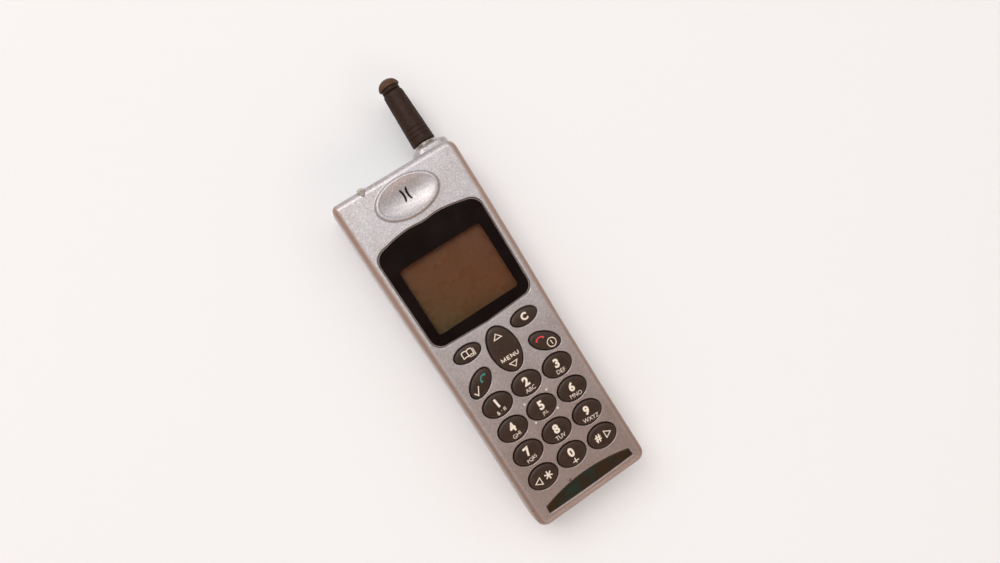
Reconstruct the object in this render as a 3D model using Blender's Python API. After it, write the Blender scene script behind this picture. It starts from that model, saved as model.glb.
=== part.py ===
"""A mid-1990s mobile phone with a keypad, a retractable whip antenna and a slide-off battery pack.

The phone lies on its back: +Z points out of the display, +Y towards the antenna, +X to the right of
someone who reads the display. The origin is on the back of the battery pack, in the middle of its width.
"""

import math

import bmesh
import bpy

MM = 0.001

# Driving dimensions
THICKNESS = 25.0 * MM
Y_TOP = 78.6 * MM
Y_BOTTOM = -78.4 * MM
HALF_WIDTH_TOP = 29.3 * MM
HALF_WIDTH_BOTTOM = 27.3 * MM
# Half widths along the sides, which draw in from the display to the keypad
SIDES = ((-40.0 * MM, 27.3 * MM), (-8.0 * MM, 27.7 * MM), (18.0 * MM, 28.5 * MM), (48.0 * MM, 29.1 * MM))
CORNER_TOP_LEFT = 3.0 * MM
CORNER_TOP_RIGHT = 5.0 * MM
CORNER_BOTTOM = 4.8 * MM
PARTING_Z = 13.0 * MM
GAP = 0.3 * MM
WALL = 1.6 * MM

# Front cover
FRONT_ROUNDING = 3.4 * MM
FRONT_DRAFT = 0.45 * MM
FRONT_INSIDE_Z = THICKNESS - 1.8 * MM

# Back of the body: a quarter ellipse in section
BACK_ROUNDING = 6.5 * MM
BACK_SHOULDER_Z = 9.0 * MM

# Battery bay and pack
BAY_END_Y = 23.2 * MM
BAY_FLOOR_Z = 8.5 * MM
FLOOR_INSIDE_Z = 9.9 * MM
FLANK_Z = 5.6 * MM
RAIL_HALF_WIDTH = 24.3 * MM
RAIL_GROOVE_DEPTH = 1.2 * MM
RAIL_GROOVE_Z = (6.2 * MM, 7.8 * MM)

# Earpiece
EARPIECE_Y = 66.6 * MM
EARPIECE_BASE = (14.5 * MM, 8.7 * MM)
EARPIECE_CREST = (13.25 * MM, 7.85 * MM)
DISH_RIM = (12.98 * MM, 7.63 * MM)
EARPIECE_HEIGHT = 1.2 * MM
DISH_BOTTOM_Z = THICKNESS - 1.0 * MM
SLOT_LENGTH = 5.6 * MM
SLOT_WIDTH = 0.95 * MM
SLOT_CENTRE_Y = EARPIECE_Y + 1.0 * MM
SLOT_MIDDLE_X = 0.85 * MM
SLOT_BOW = 0.65 * MM

# Display
WINDOW_TOP_Y = 55.9 * MM
WINDOW_BOTTOM_Y = 5.9 * MM
WINDOW_HALF_TOP = 24.9 * MM
WINDOW_HALF_BOTTOM = 24.1 * MM
WINDOW_FACE_Z = THICKNESS - 0.45 * MM
WINDOW_THICKNESS = 0.9 * MM
LCD_CENTRE_Y = 27.2 * MM
LCD_SIZE = (38.8 * MM, 30.8 * MM)

# Keypad
KEY_COLUMN = 14.8 * MM
KEY_ROW = 11.7 * MM
KEY_FIRST_ROW_Y = -24.7 * MM
KEY_MIDDLE_RISE = 0.85 * MM
KEY_HOLE = (6.8 * MM, 5.05 * MM)
KEY_SIDE_GAP = 0.4 * MM
KEY_FLANGE = 0.35 * MM
KEY_RISE = 0.85 * MM
# Raised dots round key 5
PIPS = (5.5 * MM, 4.5 * MM)
PIPS_Y = -35.3 * MM

# Mouthpiece insert
INSERT_CENTRE_X = 0.5 * MM
INSERT_HALF_WIDTH = 21.2 * MM
INSERT_TOP_Y = -67.9 * MM
INSERT_BOTTOM_Y = -74.3 * MM
INSERT_FACE_Z = THICKNESS - 0.55 * MM
INSERT_THICKNESS = 0.6 * MM
MICROPHONE = (-8.5 * MM, -70.7 * MM)
SOUND_NOTCH = (-6.3 * MM, -67.6 * MM)

# Antenna, on an axis parallel to Y
ANTENNA_X = 19.6 * MM
ANTENNA_Z = PARTING_Z
FERRULE_FLANGE_Y = (82.2 * MM, 83.3 * MM)
STUB_BASE_Y = 83.6 * MM
STUB_TOP_Y = 108.6 * MM
CAP_TOP_Y = 114.6 * MM
WHIP_TOP_Y = 111.6 * MM
WHIP_RADIUS = 1.2 * MM
WHIP_BOTTOM_Y = -12.0 * MM

# Circuit board
BOARD_Z = (17.2 * MM, 18.2 * MM)
BOARD_HALF_WIDTH = 21.3 * MM

# Case screws: the seat is the plane under the head, which is the lower end
UPPER_SCREW = {"x": 24.9 * MM, "y": 58.0 * MM, "seat_z": 6.0 * MM, "post": 2.7 * MM, "post_z": 3.4 * MM}
LOWER_SCREW = {"x": 20.5 * MM, "y": -70.0 * MM, "seat_z": 10.4 * MM, "post": 2.9 * MM, "post_z": 8.8 * MM}
BOSS_RADIUS = 2.3 * MM
HEAD_RADIUS = 1.85 * MM
HEAD_HEIGHT = 1.3 * MM

STATUS_LIGHT = (-14.8 * MM, 22.2 * MM)
LATCH_Y = 31.0 * MM
SIM_CENTRE_Y = -19.0 * MM

ROUND = 20
KEY_ROUND = 16
SMALL_ROUND = 10


# ---------------------------------------------------------------- outlines

def ellipse(centre, semi_axes, angle=0.0, count=ROUND):
    """Points round an ellipse, anticlockwise."""
    cos_a, sin_a = math.cos(angle), math.sin(angle)
    points = []
    for i in range(count):
        t = 2 * math.pi * i / count
        x, y = semi_axes[0] * math.cos(t), semi_axes[1] * math.sin(t)
        points.append((centre[0] + x * cos_a - y * sin_a, centre[1] + x * sin_a + y * cos_a))
    return points


def rectangle(x_range, y_range):
    (x0, x1), (y0, y1) = x_range, y_range
    return [(x0, y0), (x1, y0), (x1, y1), (x0, y1)]


def arc(centre, radius, start, end, steps):
    """Points along an arc, both ends included, angles in degrees."""
    points = []
    for i in range(steps + 1):
        t = math.radians(start + (end - start) * i / steps)
        points.append((centre[0] + radius * math.cos(t), centre[1] + radius * math.sin(t)))
    return points


def body_outline(side_inset, end_inset, steps=4):
    """The phone's outline from the front, drawn in by the insets."""
    sides = []
    for mirror, corner_top in ((1, CORNER_TOP_RIGHT), (-1, CORNER_TOP_LEFT)):
        points = []
        for sign, half_width, y_end, radius in ((-1, HALF_WIDTH_BOTTOM, Y_BOTTOM, CORNER_BOTTOM),
                                                (1, HALF_WIDTH_TOP, Y_TOP, corner_top)):
            drawn_in = max(radius - max(side_inset, end_inset), 0.9 * MM)
            centre = (half_width - side_inset - drawn_in, y_end - sign * (end_inset + drawn_in))
            start = -90 if sign < 0 else 0
            points += arc(centre, drawn_in, start, start + 90, steps)
            if sign < 0:
                points += [(half - side_inset, y) for y, half in SIDES]
        sides.append([(mirror * x, y) for x, y in points])
    return sides[0] + sides[1][::-1]


def window_outline(margin=0.0):
    """The display window: straight sides, and a top edge that dips under the round earpiece."""
    radius_top, radius_bottom = 5.6 * MM, 5.0 * MM
    shoulder_y = WINDOW_TOP_Y - 2.4 * MM
    points = []
    right = WINDOW_HALF_BOTTOM + margin
    points += arc((right - radius_bottom, WINDOW_BOTTOM_Y + 0.9 * MM - margin + radius_bottom),
                  radius_bottom, -85, 0, 4)
    right = WINDOW_HALF_TOP + margin
    points += arc((right - radius_top, shoulder_y + margin - radius_top), radius_top, 0, 72, 4)
    top = window_top_edge(margin)
    points += top
    mirrored = [(-x, y) for x, y in points[: len(points) - len(top)]]
    points += mirrored[::-1]
    points.append((0.0, WINDOW_BOTTOM_Y - margin))
    return points


def window_top_edge(margin):
    """The curve between the two top corners, from right to left."""
    points = []
    half = 16.0 * MM
    count = 10
    for i in range(count + 1):
        x = half * (1 - 2 * i / count)
        crown = WINDOW_TOP_Y - 1.6 * MM * (x / half) ** 2
        dip = 0.9 * MM * math.exp(-((x / (5.0 * MM)) ** 2))
        points.append((x, crown - dip + margin))
    return points


def insert_outline(margin=0.0):
    """The dark insert below the keys: an arched top edge and a nearly straight bottom edge."""
    half = INSERT_HALF_WIDTH + margin
    arch, sag, count = 2.9 * MM, 0.3 * MM, 8
    points = []
    for i in range(count + 1):
        x = half * (2 * i / count - 1)
        points.append((INSERT_CENTRE_X + x, INSERT_BOTTOM_Y - margin + sag * (x / half) ** 2))
    for i in range(count + 1):
        x = half * (1 - 2 * i / count)
        points.append((INSERT_CENTRE_X + x * 0.985, INSERT_TOP_Y + margin - arch * (x / half) ** 2))
    return points


# ---------------------------------------------------------------- solids

def ring_at(outline, z):
    return [(x, y, z) for x, y in outline]


def loft(rings, bm=None):
    """A closed solid through rings of equal length, with flat ends. Adds to bm if one is given."""
    bm = bm or bmesh.new()
    rows = [[bm.verts.new(point) for point in ring] for ring in rings]
    count = len(rows[0])
    for low, high in zip(rows, rows[1:]):
        for i in range(count):
            j = (i + 1) % count
            bm.faces.new((low[i], low[j], high[j], high[i]))
    bm.faces.new(rows[0][::-1])
    bm.faces.new(rows[-1])
    return bm


def prism(outline, z_low, z_high, bm=None):
    return loft([ring_at(outline, z_low), ring_at(outline, z_high)], bm)


def box(x_range, y_range, z_range, bm=None):
    return prism(rectangle(x_range, y_range), z_range[0], z_range[1], bm)


def side_profile(points_yz, x_range, bm=None):
    """A solid with its outline in the Y-Z plane, drawn out along X."""
    return loft([[(x, y, z) for y, z in points_yz] for x in x_range], bm)


def turned(profile, place, count=ROUND, bm=None):
    """A turned solid. profile holds (radius, height) points, and place maps (x, y, height) into the phone.
    A profile that starts and ends on the axis is solid, and any other is a closed loop round a bore."""
    bm = bm or bmesh.new()
    solid = profile[0][0] == 0
    rows = []
    for radius, height in profile:
        if radius == 0:
            rows.append([bm.verts.new(place((0.0, 0.0, height)))])
            continue
        ring = ellipse((0, 0), (radius, radius), 0, count)
        rows.append([bm.verts.new(place((x, y, height))) for x, y in ring])
    pairs = list(zip(rows, rows[1:]))
    if not solid:
        pairs.append((rows[-1], rows[0]))
    for low, high in pairs:
        for i in range(count):
            j = (i + 1) % count
            if len(low) == 1:
                bm.faces.new((low[0], high[j], high[i]))
            elif len(high) == 1:
                bm.faces.new((low[i], low[j], high[0]))
            else:
                bm.faces.new((low[i], low[j], high[j], high[i]))
    return bm


def along_z(centre):
    return lambda p: (centre[0] + p[0], centre[1] + p[1], p[2])


def along_y(centre_xz):
    """Turned round an axis parallel to Y."""
    return lambda p: (centre_xz[0] + p[0], p[2], centre_xz[1] - p[1])


def cylinder_z(centre, radius, z_low, z_high, count=SMALL_ROUND, bm=None):
    return prism(ellipse(centre, (radius, radius), 0, count), z_low, z_high, bm)


def cylinder_y(centre_xz, radius, y_low, y_high, count=SMALL_ROUND, bm=None):
    profile = [(0, y_low), (radius, y_low), (radius, y_high), (0, y_high)]
    return turned(profile, along_y(centre_xz), count, bm)


# ---------------------------------------------------------------- objects

def material(name, colour, roughness, metallic=0.0, alpha=1.0):
    found = bpy.data.materials.get(name)
    if found:
        return found
    made = bpy.data.materials.new(name)
    made.use_nodes = True
    shader = made.node_tree.nodes["Principled BSDF"]
    shader.inputs["Base Color"].default_value = (*colour, 1.0)
    shader.inputs["Roughness"].default_value = roughness
    shader.inputs["Metallic"].default_value = metallic
    shader.inputs["Alpha"].default_value = alpha
    made.diffuse_color = (*colour, alpha)
    return made


def silver_paint():
    return material("silver_paint", (0.55, 0.52, 0.53), 0.38, 0.6)


def key_rubber():
    return material("key_rubber", (0.05, 0.04, 0.032), 0.5)


def black_plastic():
    return material("black_plastic", (0.03, 0.025, 0.02), 0.45)


def dark_glass():
    return material("dark_glass", (0.01, 0.008, 0.008), 0.06)


def steel():
    return material("steel", (0.72, 0.72, 0.7), 0.3, 1.0)


def brass():
    return material("gold_contact", (0.85, 0.62, 0.25), 0.3, 1.0)


def board_green():
    return material("board_green", (0.02, 0.16, 0.06), 0.5)


def finish_object(name, bm, finish):
    bmesh.ops.recalc_face_normals(bm, faces=bm.faces)
    mesh = bpy.data.meshes.new(name)
    bm.to_mesh(mesh)
    bm.free()
    mesh.shade_smooth()
    mesh.set_sharp_from_angle(angle=math.radians(35))
    made = bpy.data.objects.new(name, mesh)
    bpy.context.scene.collection.objects.link(made)
    if finish:
        mesh.materials.append(finish)
    return made


def tool(name, bm):
    """A shape that only cuts or joins others."""
    made = finish_object(name, bm, None)
    made.hide_render = True
    made.display_type = "WIRE"
    return made


def combine(target, other, operation):
    change = target.modifiers.new(other.name, "BOOLEAN")
    change.operation = operation
    change.solver = "EXACT"
    change.use_self = True
    change.object = other


def cut(target, name, bm):
    combine(target, tool(name, bm), "DIFFERENCE")


def join(target, name, bm):
    combine(target, tool(name, bm), "UNION")


# ---------------------------------------------------------------- body shape

def front_shell_rings(wall=0.0):
    """Sections of the front half, from the parting plane to the face. wall > 0 gives the cavity inside it."""
    wall_z = FRONT_INSIDE_Z if wall else THICKNESS
    low_z = PARTING_Z - MM if wall else PARTING_Z + GAP
    side_top = THICKNESS - FRONT_ROUNDING
    rings = [ring_at(body_outline(wall, wall), low_z)]
    steps = 4
    rounding = FRONT_ROUNDING - (0.2 * MM if wall else 0)
    base_z = side_top if not wall else wall_z - (rounding - 0.6 * MM)
    for i in range(steps + 1):
        t = math.radians(90 * i / steps)
        inset = (FRONT_ROUNDING - 0.25 * MM) * (1 - math.cos(t))
        z = base_z + (wall_z - base_z) * math.sin(t)
        rings.append(ring_at(body_outline(wall + FRONT_DRAFT + inset, wall + inset), z))
    return rings


def back_inset(t):
    return BACK_ROUNDING * (1 - math.cos(t))


def back_rings(wall=0.0, top_z=PARTING_Z):
    """Sections of the back half, from the parting plane down to the back."""
    rings = [ring_at(body_outline(wall, wall), top_z)]
    steps = 5
    for i in range(steps + 1):
        t = math.radians(90 * i / steps)
        z = BACK_SHOULDER_Z - (BACK_SHOULDER_Z - wall) * math.sin(t)
        rings.append(ring_at(body_outline(wall + back_inset(t), wall + back_inset(t)), z))
    return rings[::-1]


def earpiece_boss():
    """The raised oval that carries the lip."""
    lip_z = THICKNESS + EARPIECE_HEIGHT
    sections = [
        (EARPIECE_BASE, THICKNESS - 0.9 * MM),
        (EARPIECE_BASE, THICKNESS + 0.05 * MM),
        ((14.1 * MM, 8.45 * MM), lip_z - 0.5 * MM),
        ((13.7 * MM, 8.15 * MM), lip_z - 0.15 * MM),
        (EARPIECE_CREST, lip_z),
    ]
    return loft([ring_at(ellipse((0.0, EARPIECE_Y), axes), z) for axes, z in sections])


def earpiece_dish():
    """The hollow inside the lip."""
    lip_z = THICKNESS + EARPIECE_HEIGHT
    sections = [
        ((1.5 * MM, 0.9 * MM), DISH_BOTTOM_Z),
        ((5.0 * MM, 2.9 * MM), DISH_BOTTOM_Z + 0.3 * MM),
        ((9.6 * MM, 5.5 * MM), DISH_BOTTOM_Z + 1.1 * MM),
        ((12.5 * MM, 7.15 * MM), lip_z - 0.3 * MM),
        (DISH_RIM, lip_z + 0.02 * MM),
        (DISH_RIM, lip_z + MM),
    ]
    return loft([ring_at(ellipse((0.0, EARPIECE_Y), axes), z) for axes, z in sections])


def earpiece_slots():
    """Two bowed slots, back to back."""
    bm = bmesh.new()
    count = 6
    for side in (-1, 1):
        outline = []
        for edge, order in ((1, range(count + 1)), (-1, range(count, -1, -1))):
            for i in order:
                v = 2 * i / count - 1
                x = side * (SLOT_MIDDLE_X + SLOT_BOW * v * v) + edge * SLOT_WIDTH / 2
                outline.append((x, SLOT_CENTRE_Y + v * SLOT_LENGTH / 2))
        prism(outline[::-1], DISH_BOTTOM_Z - 3 * MM, THICKNESS + 2 * MM, bm)
    return bm


def keys():
    """Every key's name, centre, hole semi-axes and tilt."""
    found = []
    names = ("1", "2", "3", "4", "5", "6", "7", "8", "9", "star", "0", "hash")
    for index, name in enumerate(names):
        row, column = divmod(index, 3)
        rise = KEY_MIDDLE_RISE if column == 1 else 0.0
        centre = ((column - 1) * KEY_COLUMN, KEY_FIRST_ROW_Y - row * KEY_ROW + rise)
        found.append(("key_" + name, centre, KEY_HOLE, 0.0))
    small = (6.35 * MM, 3.6 * MM)
    tilted = (6.9 * MM, 4.1 * MM)
    tilt = math.radians(35)
    found.append(("key_phonebook", (-13.9 * MM, -0.3 * MM), small, 0.0))
    found.append(("key_clear", (13.9 * MM, -0.3 * MM), small, 0.0))
    found.append(("key_call", (-15.9 * MM, -13.4 * MM), tilted, tilt))
    found.append(("key_end", (15.9 * MM, -13.4 * MM), tilted, -tilt))
    found.append(("key_menu", (0.0, -7.05 * MM), (6.55 * MM, 10.4 * MM), 0.0))
    return found


def grown(semi_axes, margin):
    return (semi_axes[0] + margin, semi_axes[1] + margin)


def status_lens(margin, z_low, z_high=None):
    """A teardrop lens that wraps over the top edge, or a straight cutter for it if z_high is given."""
    radius, tip_y, round_y = 1.65 * MM, 75.3 * MM, 77.95 * MM
    outline = [(STATUS_LIGHT[0], tip_y - 1.5 * margin)]
    outline += arc((STATUS_LIGHT[0], round_y), radius + margin, -38, 218, 8)
    if z_high:
        return prism(outline, z_low, z_high)
    middle = (STATUS_LIGHT[0], round_y)
    rings = [ring_at(outline, z_low)]
    for share, drop in ((1.0, 0.4 * MM), (0.9, 0.1 * MM), (0.7, 0.0)):
        ring = []
        for point in outline:
            x, y = (m + (p - m) * share for p, m in zip(point, middle))
            ring.append((x, y, lens_top(y) - drop))
        rings.append(ring)
    return loft(rings)


def lens_top(y):
    """The height of the lens, a little proud of the cover's rounded end."""
    last_y, proud = 78.0 * MM, 0.15 * MM
    reach = FRONT_ROUNDING - 0.25 * MM
    cosine = min(1 - (Y_TOP - min(y, last_y)) / reach, 1.0)
    height = THICKNESS - FRONT_ROUNDING * (1 - math.sqrt(1 - max(cosine, 0.0) ** 2))
    return height + proud - 0.3 * max(y - last_y, 0.0)


def light_pipe(margin, y_inner):
    """The rod that brings the light to the lens."""
    return cylinder_y(STATUS_LIGHT, 1.2 * MM + margin, y_inner, 78.0 * MM)


def antenna_shoulder():
    """The raised block round the antenna, which runs out to the corner of the top end."""
    sections = ((1.6, -4.2), (0.9, -1.4), (0.2, 0.6), (0.0, 1.2), (-0.5, 2.2), (-1.6, 3.0), (-2.5, 3.3))
    half_x, half_z, radius = 8.2 * MM, 7.4 * MM, 5.2 * MM
    middle_x = ANTENNA_X + 0.6 * MM
    rings = []
    for spread, above in sections:
        grow = spread * MM
        shrink = min(grow, 0)
        corners = (
            (half_x + shrink, -half_z - shrink, -90), (half_x + shrink, half_z + shrink, 0),
            (-half_x - grow, half_z + shrink, 90), (-half_x - grow, -half_z - shrink, 180),
        )
        ring = []
        for x, z, start in corners:
            centre = (x - math.copysign(radius + shrink, x), z - math.copysign(radius + shrink, z))
            ring += arc(centre, radius + shrink, start, start + 90, 3)
        rings.append([(middle_x + x, Y_TOP + above * MM, ANTENNA_Z + z) for x, z in ring])
    return loft(rings)


def screw_places():
    """Each case screw's centre and its row's dimensions."""
    return [((side * row["x"], row["y"]), row) for row in (UPPER_SCREW, LOWER_SCREW) for side in (-1, 1)]


# ---------------------------------------------------------------- covers

def front_cover():
    cover = finish_object("front_cover", loft(front_shell_rings()), silver_paint())
    cut(cover, "front_cavity", loft(front_shell_rings(WALL)))
    join(cover, "antenna_shoulder_front", antenna_shoulder())
    join(cover, "earpiece_boss", earpiece_boss())
    cut(cover, "earpiece_dish", earpiece_dish())
    join(cover, "window_frame", prism(window_outline(0.9 * MM), 22.3 * MM, FRONT_INSIDE_Z + 0.2 * MM))
    bosses = bmesh.new()
    for place, _ in screw_places():
        cylinder_z(place, BOSS_RADIUS, PARTING_Z + GAP, FRONT_INSIDE_Z + 0.3 * MM, SMALL_ROUND, bosses)
    join(cover, "screw_bosses", bosses)

    pockets = prism(window_outline(0.15 * MM), 23.35 * MM, THICKNESS + MM)
    prism(insert_outline(0.15 * MM), 23.55 * MM, THICKNESS + MM, pockets)
    cut(cover, "window_and_insert_pockets", pockets)
    half_x, half_y = LCD_SIZE[0] / 2 + 1.0 * MM, LCD_SIZE[1] / 2 + 1.0 * MM
    openings = box((-half_x, half_x), (LCD_CENTRE_Y - half_y, LCD_CENTRE_Y + half_y), (21 * MM, 24 * MM))
    for _, centre, axes, tilt in keys():
        prism(ellipse(centre, axes, tilt, KEY_ROUND), FRONT_INSIDE_Z - MM, THICKNESS + MM, openings)
    for place, _ in screw_places():
        cylinder_z(place, 1.1 * MM, PARTING_Z - MM, 20 * MM, 8, openings)
    cylinder_y((ANTENNA_X, ANTENNA_Z), 4.1 * MM, Y_TOP - 9 * MM, Y_TOP + 4 * MM, ROUND, openings)
    box((-9.4 * MM, 9.4 * MM), (Y_BOTTOM - MM, Y_BOTTOM + 4 * MM), (PARTING_Z - MM, 17.0 * MM), openings)
    cylinder_z(MICROPHONE, 0.6 * MM, 22 * MM, 24 * MM, 8, openings)
    prism(ellipse(SOUND_NOTCH, (0.6 * MM, 0.85 * MM), 0, SMALL_ROUND), 23.55 * MM, THICKNESS + MM, openings)
    cut(cover, "front_openings", openings)
    cut(cover, "status_lens_hole", status_lens(0.15 * MM, 20.7 * MM, THICKNESS + MM))
    cut(cover, "light_pipe_hole", light_pipe(0.15 * MM, 69 * MM))
    cut(cover, "earpiece_slots", earpiece_slots())
    cut(cover, "below_parting", box((-40 * MM, 40 * MM), (-90 * MM, 90 * MM), (0, PARTING_Z + GAP)))

    pips = bmesh.new()
    for side in (-1, 1):
        for end in (-1, 1):
            radius, low_z = 0.5 * MM, THICKNESS - 0.4 * MM
            profile = [(0, low_z), (radius, low_z), (radius, THICKNESS + 0.1 * MM), (0, THICKNESS + 0.35 * MM)]
            turned(profile, along_z((side * PIPS[0], PIPS_Y + end * PIPS[1])), 8, pips)
    join(cover, "key_pips", pips)


def rear_cover():
    lip_z = PARTING_Z + 1.8 * MM
    rings = back_rings()
    for z in (PARTING_Z + 0.01 * MM, lip_z):
        rings.append(ring_at(body_outline(WALL + 0.2 * MM, WALL + 0.2 * MM), z))
    cover = finish_object("rear_cover", loft(rings), silver_paint())
    join(cover, "antenna_shoulder_rear", antenna_shoulder())
    above = box((ANTENNA_X - 12 * MM, 40 * MM), (Y_TOP - 5 * MM, 90 * MM), (PARTING_Z, 30 * MM))
    cut(cover, "above_shoulder", above)
    cut(cover, "bay", bay())
    cut(cover, "rooms", rooms())

    posts = bmesh.new()
    for place, row in screw_places():
        cylinder_z(place, row["post"], row["post_z"], PARTING_Z - 0.1 * MM, SMALL_ROUND, posts)
    box((-9.4 * MM, 9.4 * MM), (-52 * MM, -4 * MM), (BAY_FLOOR_Z + 0.5 * MM, 11.0 * MM), posts)
    box((-2.8 * MM, 2.8 * MM), (50.5 * MM, 54 * MM), (1.0 * MM, 10.0 * MM), posts)
    join(cover, "posts_and_card_well", posts)
    cut(cover, "lip_gaps", lip_gaps(lip_z))
    cut(cover, "rear_openings", rear_openings())
    bores = bmesh.new()
    for place, _ in screw_places():
        cylinder_z(place, 1.25 * MM, 5 * MM, PARTING_Z + 4 * MM, 8, bores)
    cut(cover, "screw_bores", bores)


def bay():
    """The battery's space: everything below the flanks, and the channel between them with its two grooves."""
    bm = box((-40 * MM, 40 * MM), (-90 * MM, BAY_END_Y), (-2 * MM, FLANK_Z))
    low, high = RAIL_GROOVE_Z
    deep = RAIL_HALF_WIDTH + RAIL_GROOVE_DEPTH
    right = [(RAIL_HALF_WIDTH, FLANK_Z), (RAIL_HALF_WIDTH, low), (deep, low), (deep, high),
             (RAIL_HALF_WIDTH, high), (RAIL_HALF_WIDTH, BAY_FLOOR_Z)]
    channel = right + [(-x, z) for x, z in right[::-1]]
    # The two spaces meet a little below the flanks, so that they cut as one
    channel[0] = (RAIL_HALF_WIDTH, FLANK_Z - MM)
    channel[-1] = (-RAIL_HALF_WIDTH, FLANK_Z - MM)
    rings = [[(x, y, z) for x, z in channel] for y in (-90 * MM, BAY_END_Y)]
    return loft(rings, bm)


def half_width_at(y):
    points = ((Y_BOTTOM, HALF_WIDTH_BOTTOM),) + SIDES + ((Y_TOP, HALF_WIDTH_TOP),)
    for (y0, half0), (y1, half1) in zip(points, points[1:]):
        if y <= y1:
            return half0 + (half1 - half0) * (y - y0) / (y1 - y0)
    return HALF_WIDTH_TOP


def room_outline(y_low, y_high, inset, end_inset):
    radius = 2.8 * MM
    right = []
    for y, start in ((y_low, -90), (y_high - end_inset, 0)):
        toward = radius if y == y_low else -radius
        right += arc((half_width_at(y) - inset - radius, y + toward), radius, start, start + 90, 3)
        if y == y_low:
            between = [(side_y, half) for side_y, half in SIDES if y_low + radius < side_y < y_high - radius]
            right += [(half - inset, side_y) for side_y, half in between]
    return right + [(-x, y) for x, y in right[::-1]]


def rooms():
    """The space inside the back half: deep behind the earpiece, shallow above the battery."""
    lip = WALL + MM
    top = PARTING_Z + 3 * MM
    low_y, high_y = Y_BOTTOM + WALL, Y_TOP - WALL
    shallow = [
        ring_at(room_outline(low_y, BAY_END_Y + 6 * MM, WALL, 0), FLOOR_INSIDE_Z),
        ring_at(room_outline(low_y, BAY_END_Y + 6 * MM, WALL, 0), PARTING_Z - 1.4 * MM),
    ]
    bm = loft(shallow)
    loft([ring_at(room_outline(low_y + MM, high_y - MM, lip, 0), z) for z in (PARTING_Z - 1.6 * MM, top)], bm)
    deep = []
    start_y = BAY_END_Y + WALL
    steps = 4
    for i in range(steps + 1):
        t = math.radians(90 * i / steps)
        inset = (BACK_ROUNDING - 0.8 * MM) * (1 - math.cos(t))
        z = BACK_SHOULDER_Z - (BACK_SHOULDER_Z - WALL) * math.sin(t)
        deep.append(ring_at(room_outline(start_y, high_y, WALL + inset, inset), z))
    deep = deep[::-1]
    deep.append(ring_at(room_outline(start_y, high_y, WALL, 0), PARTING_Z - 1.4 * MM))
    return loft(deep, bm)


def lip_gaps(lip_z):
    """Breaks in the lip, for the front cover's bosses, the connector and the antenna."""
    z_range = (PARTING_Z, lip_z + MM)
    bm = bmesh.new()
    for (x, y), _ in screw_places():
        box((x - 3.2 * MM, x + 3.2 * MM), (y - 3 * MM, y + 3 * MM), z_range, bm)
    box((-10.2 * MM, 10.2 * MM), (Y_BOTTOM - MM, Y_BOTTOM + 8 * MM), z_range, bm)
    return bm


def rear_openings():
    bm = bmesh.new()
    for place, row in screw_places():
        low = -2 * MM if row is UPPER_SCREW else 7 * MM
        cylinder_z(place, HEAD_RADIUS + 0.3 * MM, low, row["seat_z"], SMALL_ROUND, bm)
    box((-8.1 * MM, 8.1 * MM), (-51 * MM, -5.2 * MM), (FLANK_Z, 9.75 * MM), bm)
    box((-3.5 * MM, 3.5 * MM), (12.4 * MM, 17.8 * MM), (FLANK_Z, 10.1 * MM), bm)
    for x in battery_contact_xs():
        box((x - 1.3 * MM, x + 1.3 * MM), (14.8 * MM, 20.8 * MM), (FLANK_Z, 10.1 * MM), bm)
    cylinder_y((ANTENNA_X, ANTENNA_Z), 4.1 * MM, Y_TOP - 9 * MM, Y_TOP + 4 * MM, ROUND, bm)
    prism(stadium((0, LATCH_Y), 7.4 * MM, 3.9 * MM), -2 * MM, 5 * MM, bm)
    for i in range(5):
        prism(stadium((-11 * MM, (54 + 3 * i) * MM), 5.0 * MM, 0.6 * MM, 2), -2 * MM, 4 * MM, bm)
    box((-9.4 * MM, 9.4 * MM), (Y_BOTTOM - MM, Y_BOTTOM + 4 * MM), (PARTING_Z - 0.3 * MM, 17.0 * MM), bm)
    return bm


def stadium(centre, half_length, half_width, steps=4):
    """A long round-ended outline that lies along X."""
    reach = half_length - half_width
    points = arc((centre[0] + reach, centre[1]), half_width, -90, 90, 2 * steps)
    points += arc((centre[0] - reach, centre[1]), half_width, 90, 270, 2 * steps)
    return points


def display_parts():
    finish_object(
        "display_window", prism(window_outline(-0.1 * MM), WINDOW_FACE_Z - WINDOW_THICKNESS, WINDOW_FACE_Z),
        dark_glass())
    half_x, half_y = LCD_SIZE[0] / 2 + 1.2 * MM, LCD_SIZE[1] / 2 + 1.2 * MM
    y_range = (LCD_CENTRE_Y - half_y, LCD_CENTRE_Y + half_y)
    finish_object("lcd_glass", box((-half_x, half_x), y_range, (20.4 * MM, 21.8 * MM)),
                  material("lcd_glass", (0.13, 0.08, 0.035), 0.2))
    frame_x, frame_y = half_x + 0.9 * MM, half_y + 0.9 * MM
    frame = finish_object(
        "lcd_frame",
        box((-frame_x, frame_x), (LCD_CENTRE_Y - frame_y, LCD_CENTRE_Y + frame_y), (18.5 * MM, 21.6 * MM)),
        material("white_plastic", (0.8, 0.8, 0.76), 0.5))
    margin = 0.25 * MM
    cut(frame, "lcd_seat",
        box((-half_x - margin, half_x + margin), (y_range[0] - margin, y_range[1] + margin), (20.1 * MM, 23 * MM)))
    strip = box((-17 * MM, 17 * MM), (LCD_CENTRE_Y - frame_y - 2.6 * MM, LCD_CENTRE_Y - frame_y - 0.3 * MM),
                (18.5 * MM, 21.6 * MM))
    finish_object("lcd_connector_strip", strip, black_plastic())


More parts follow.
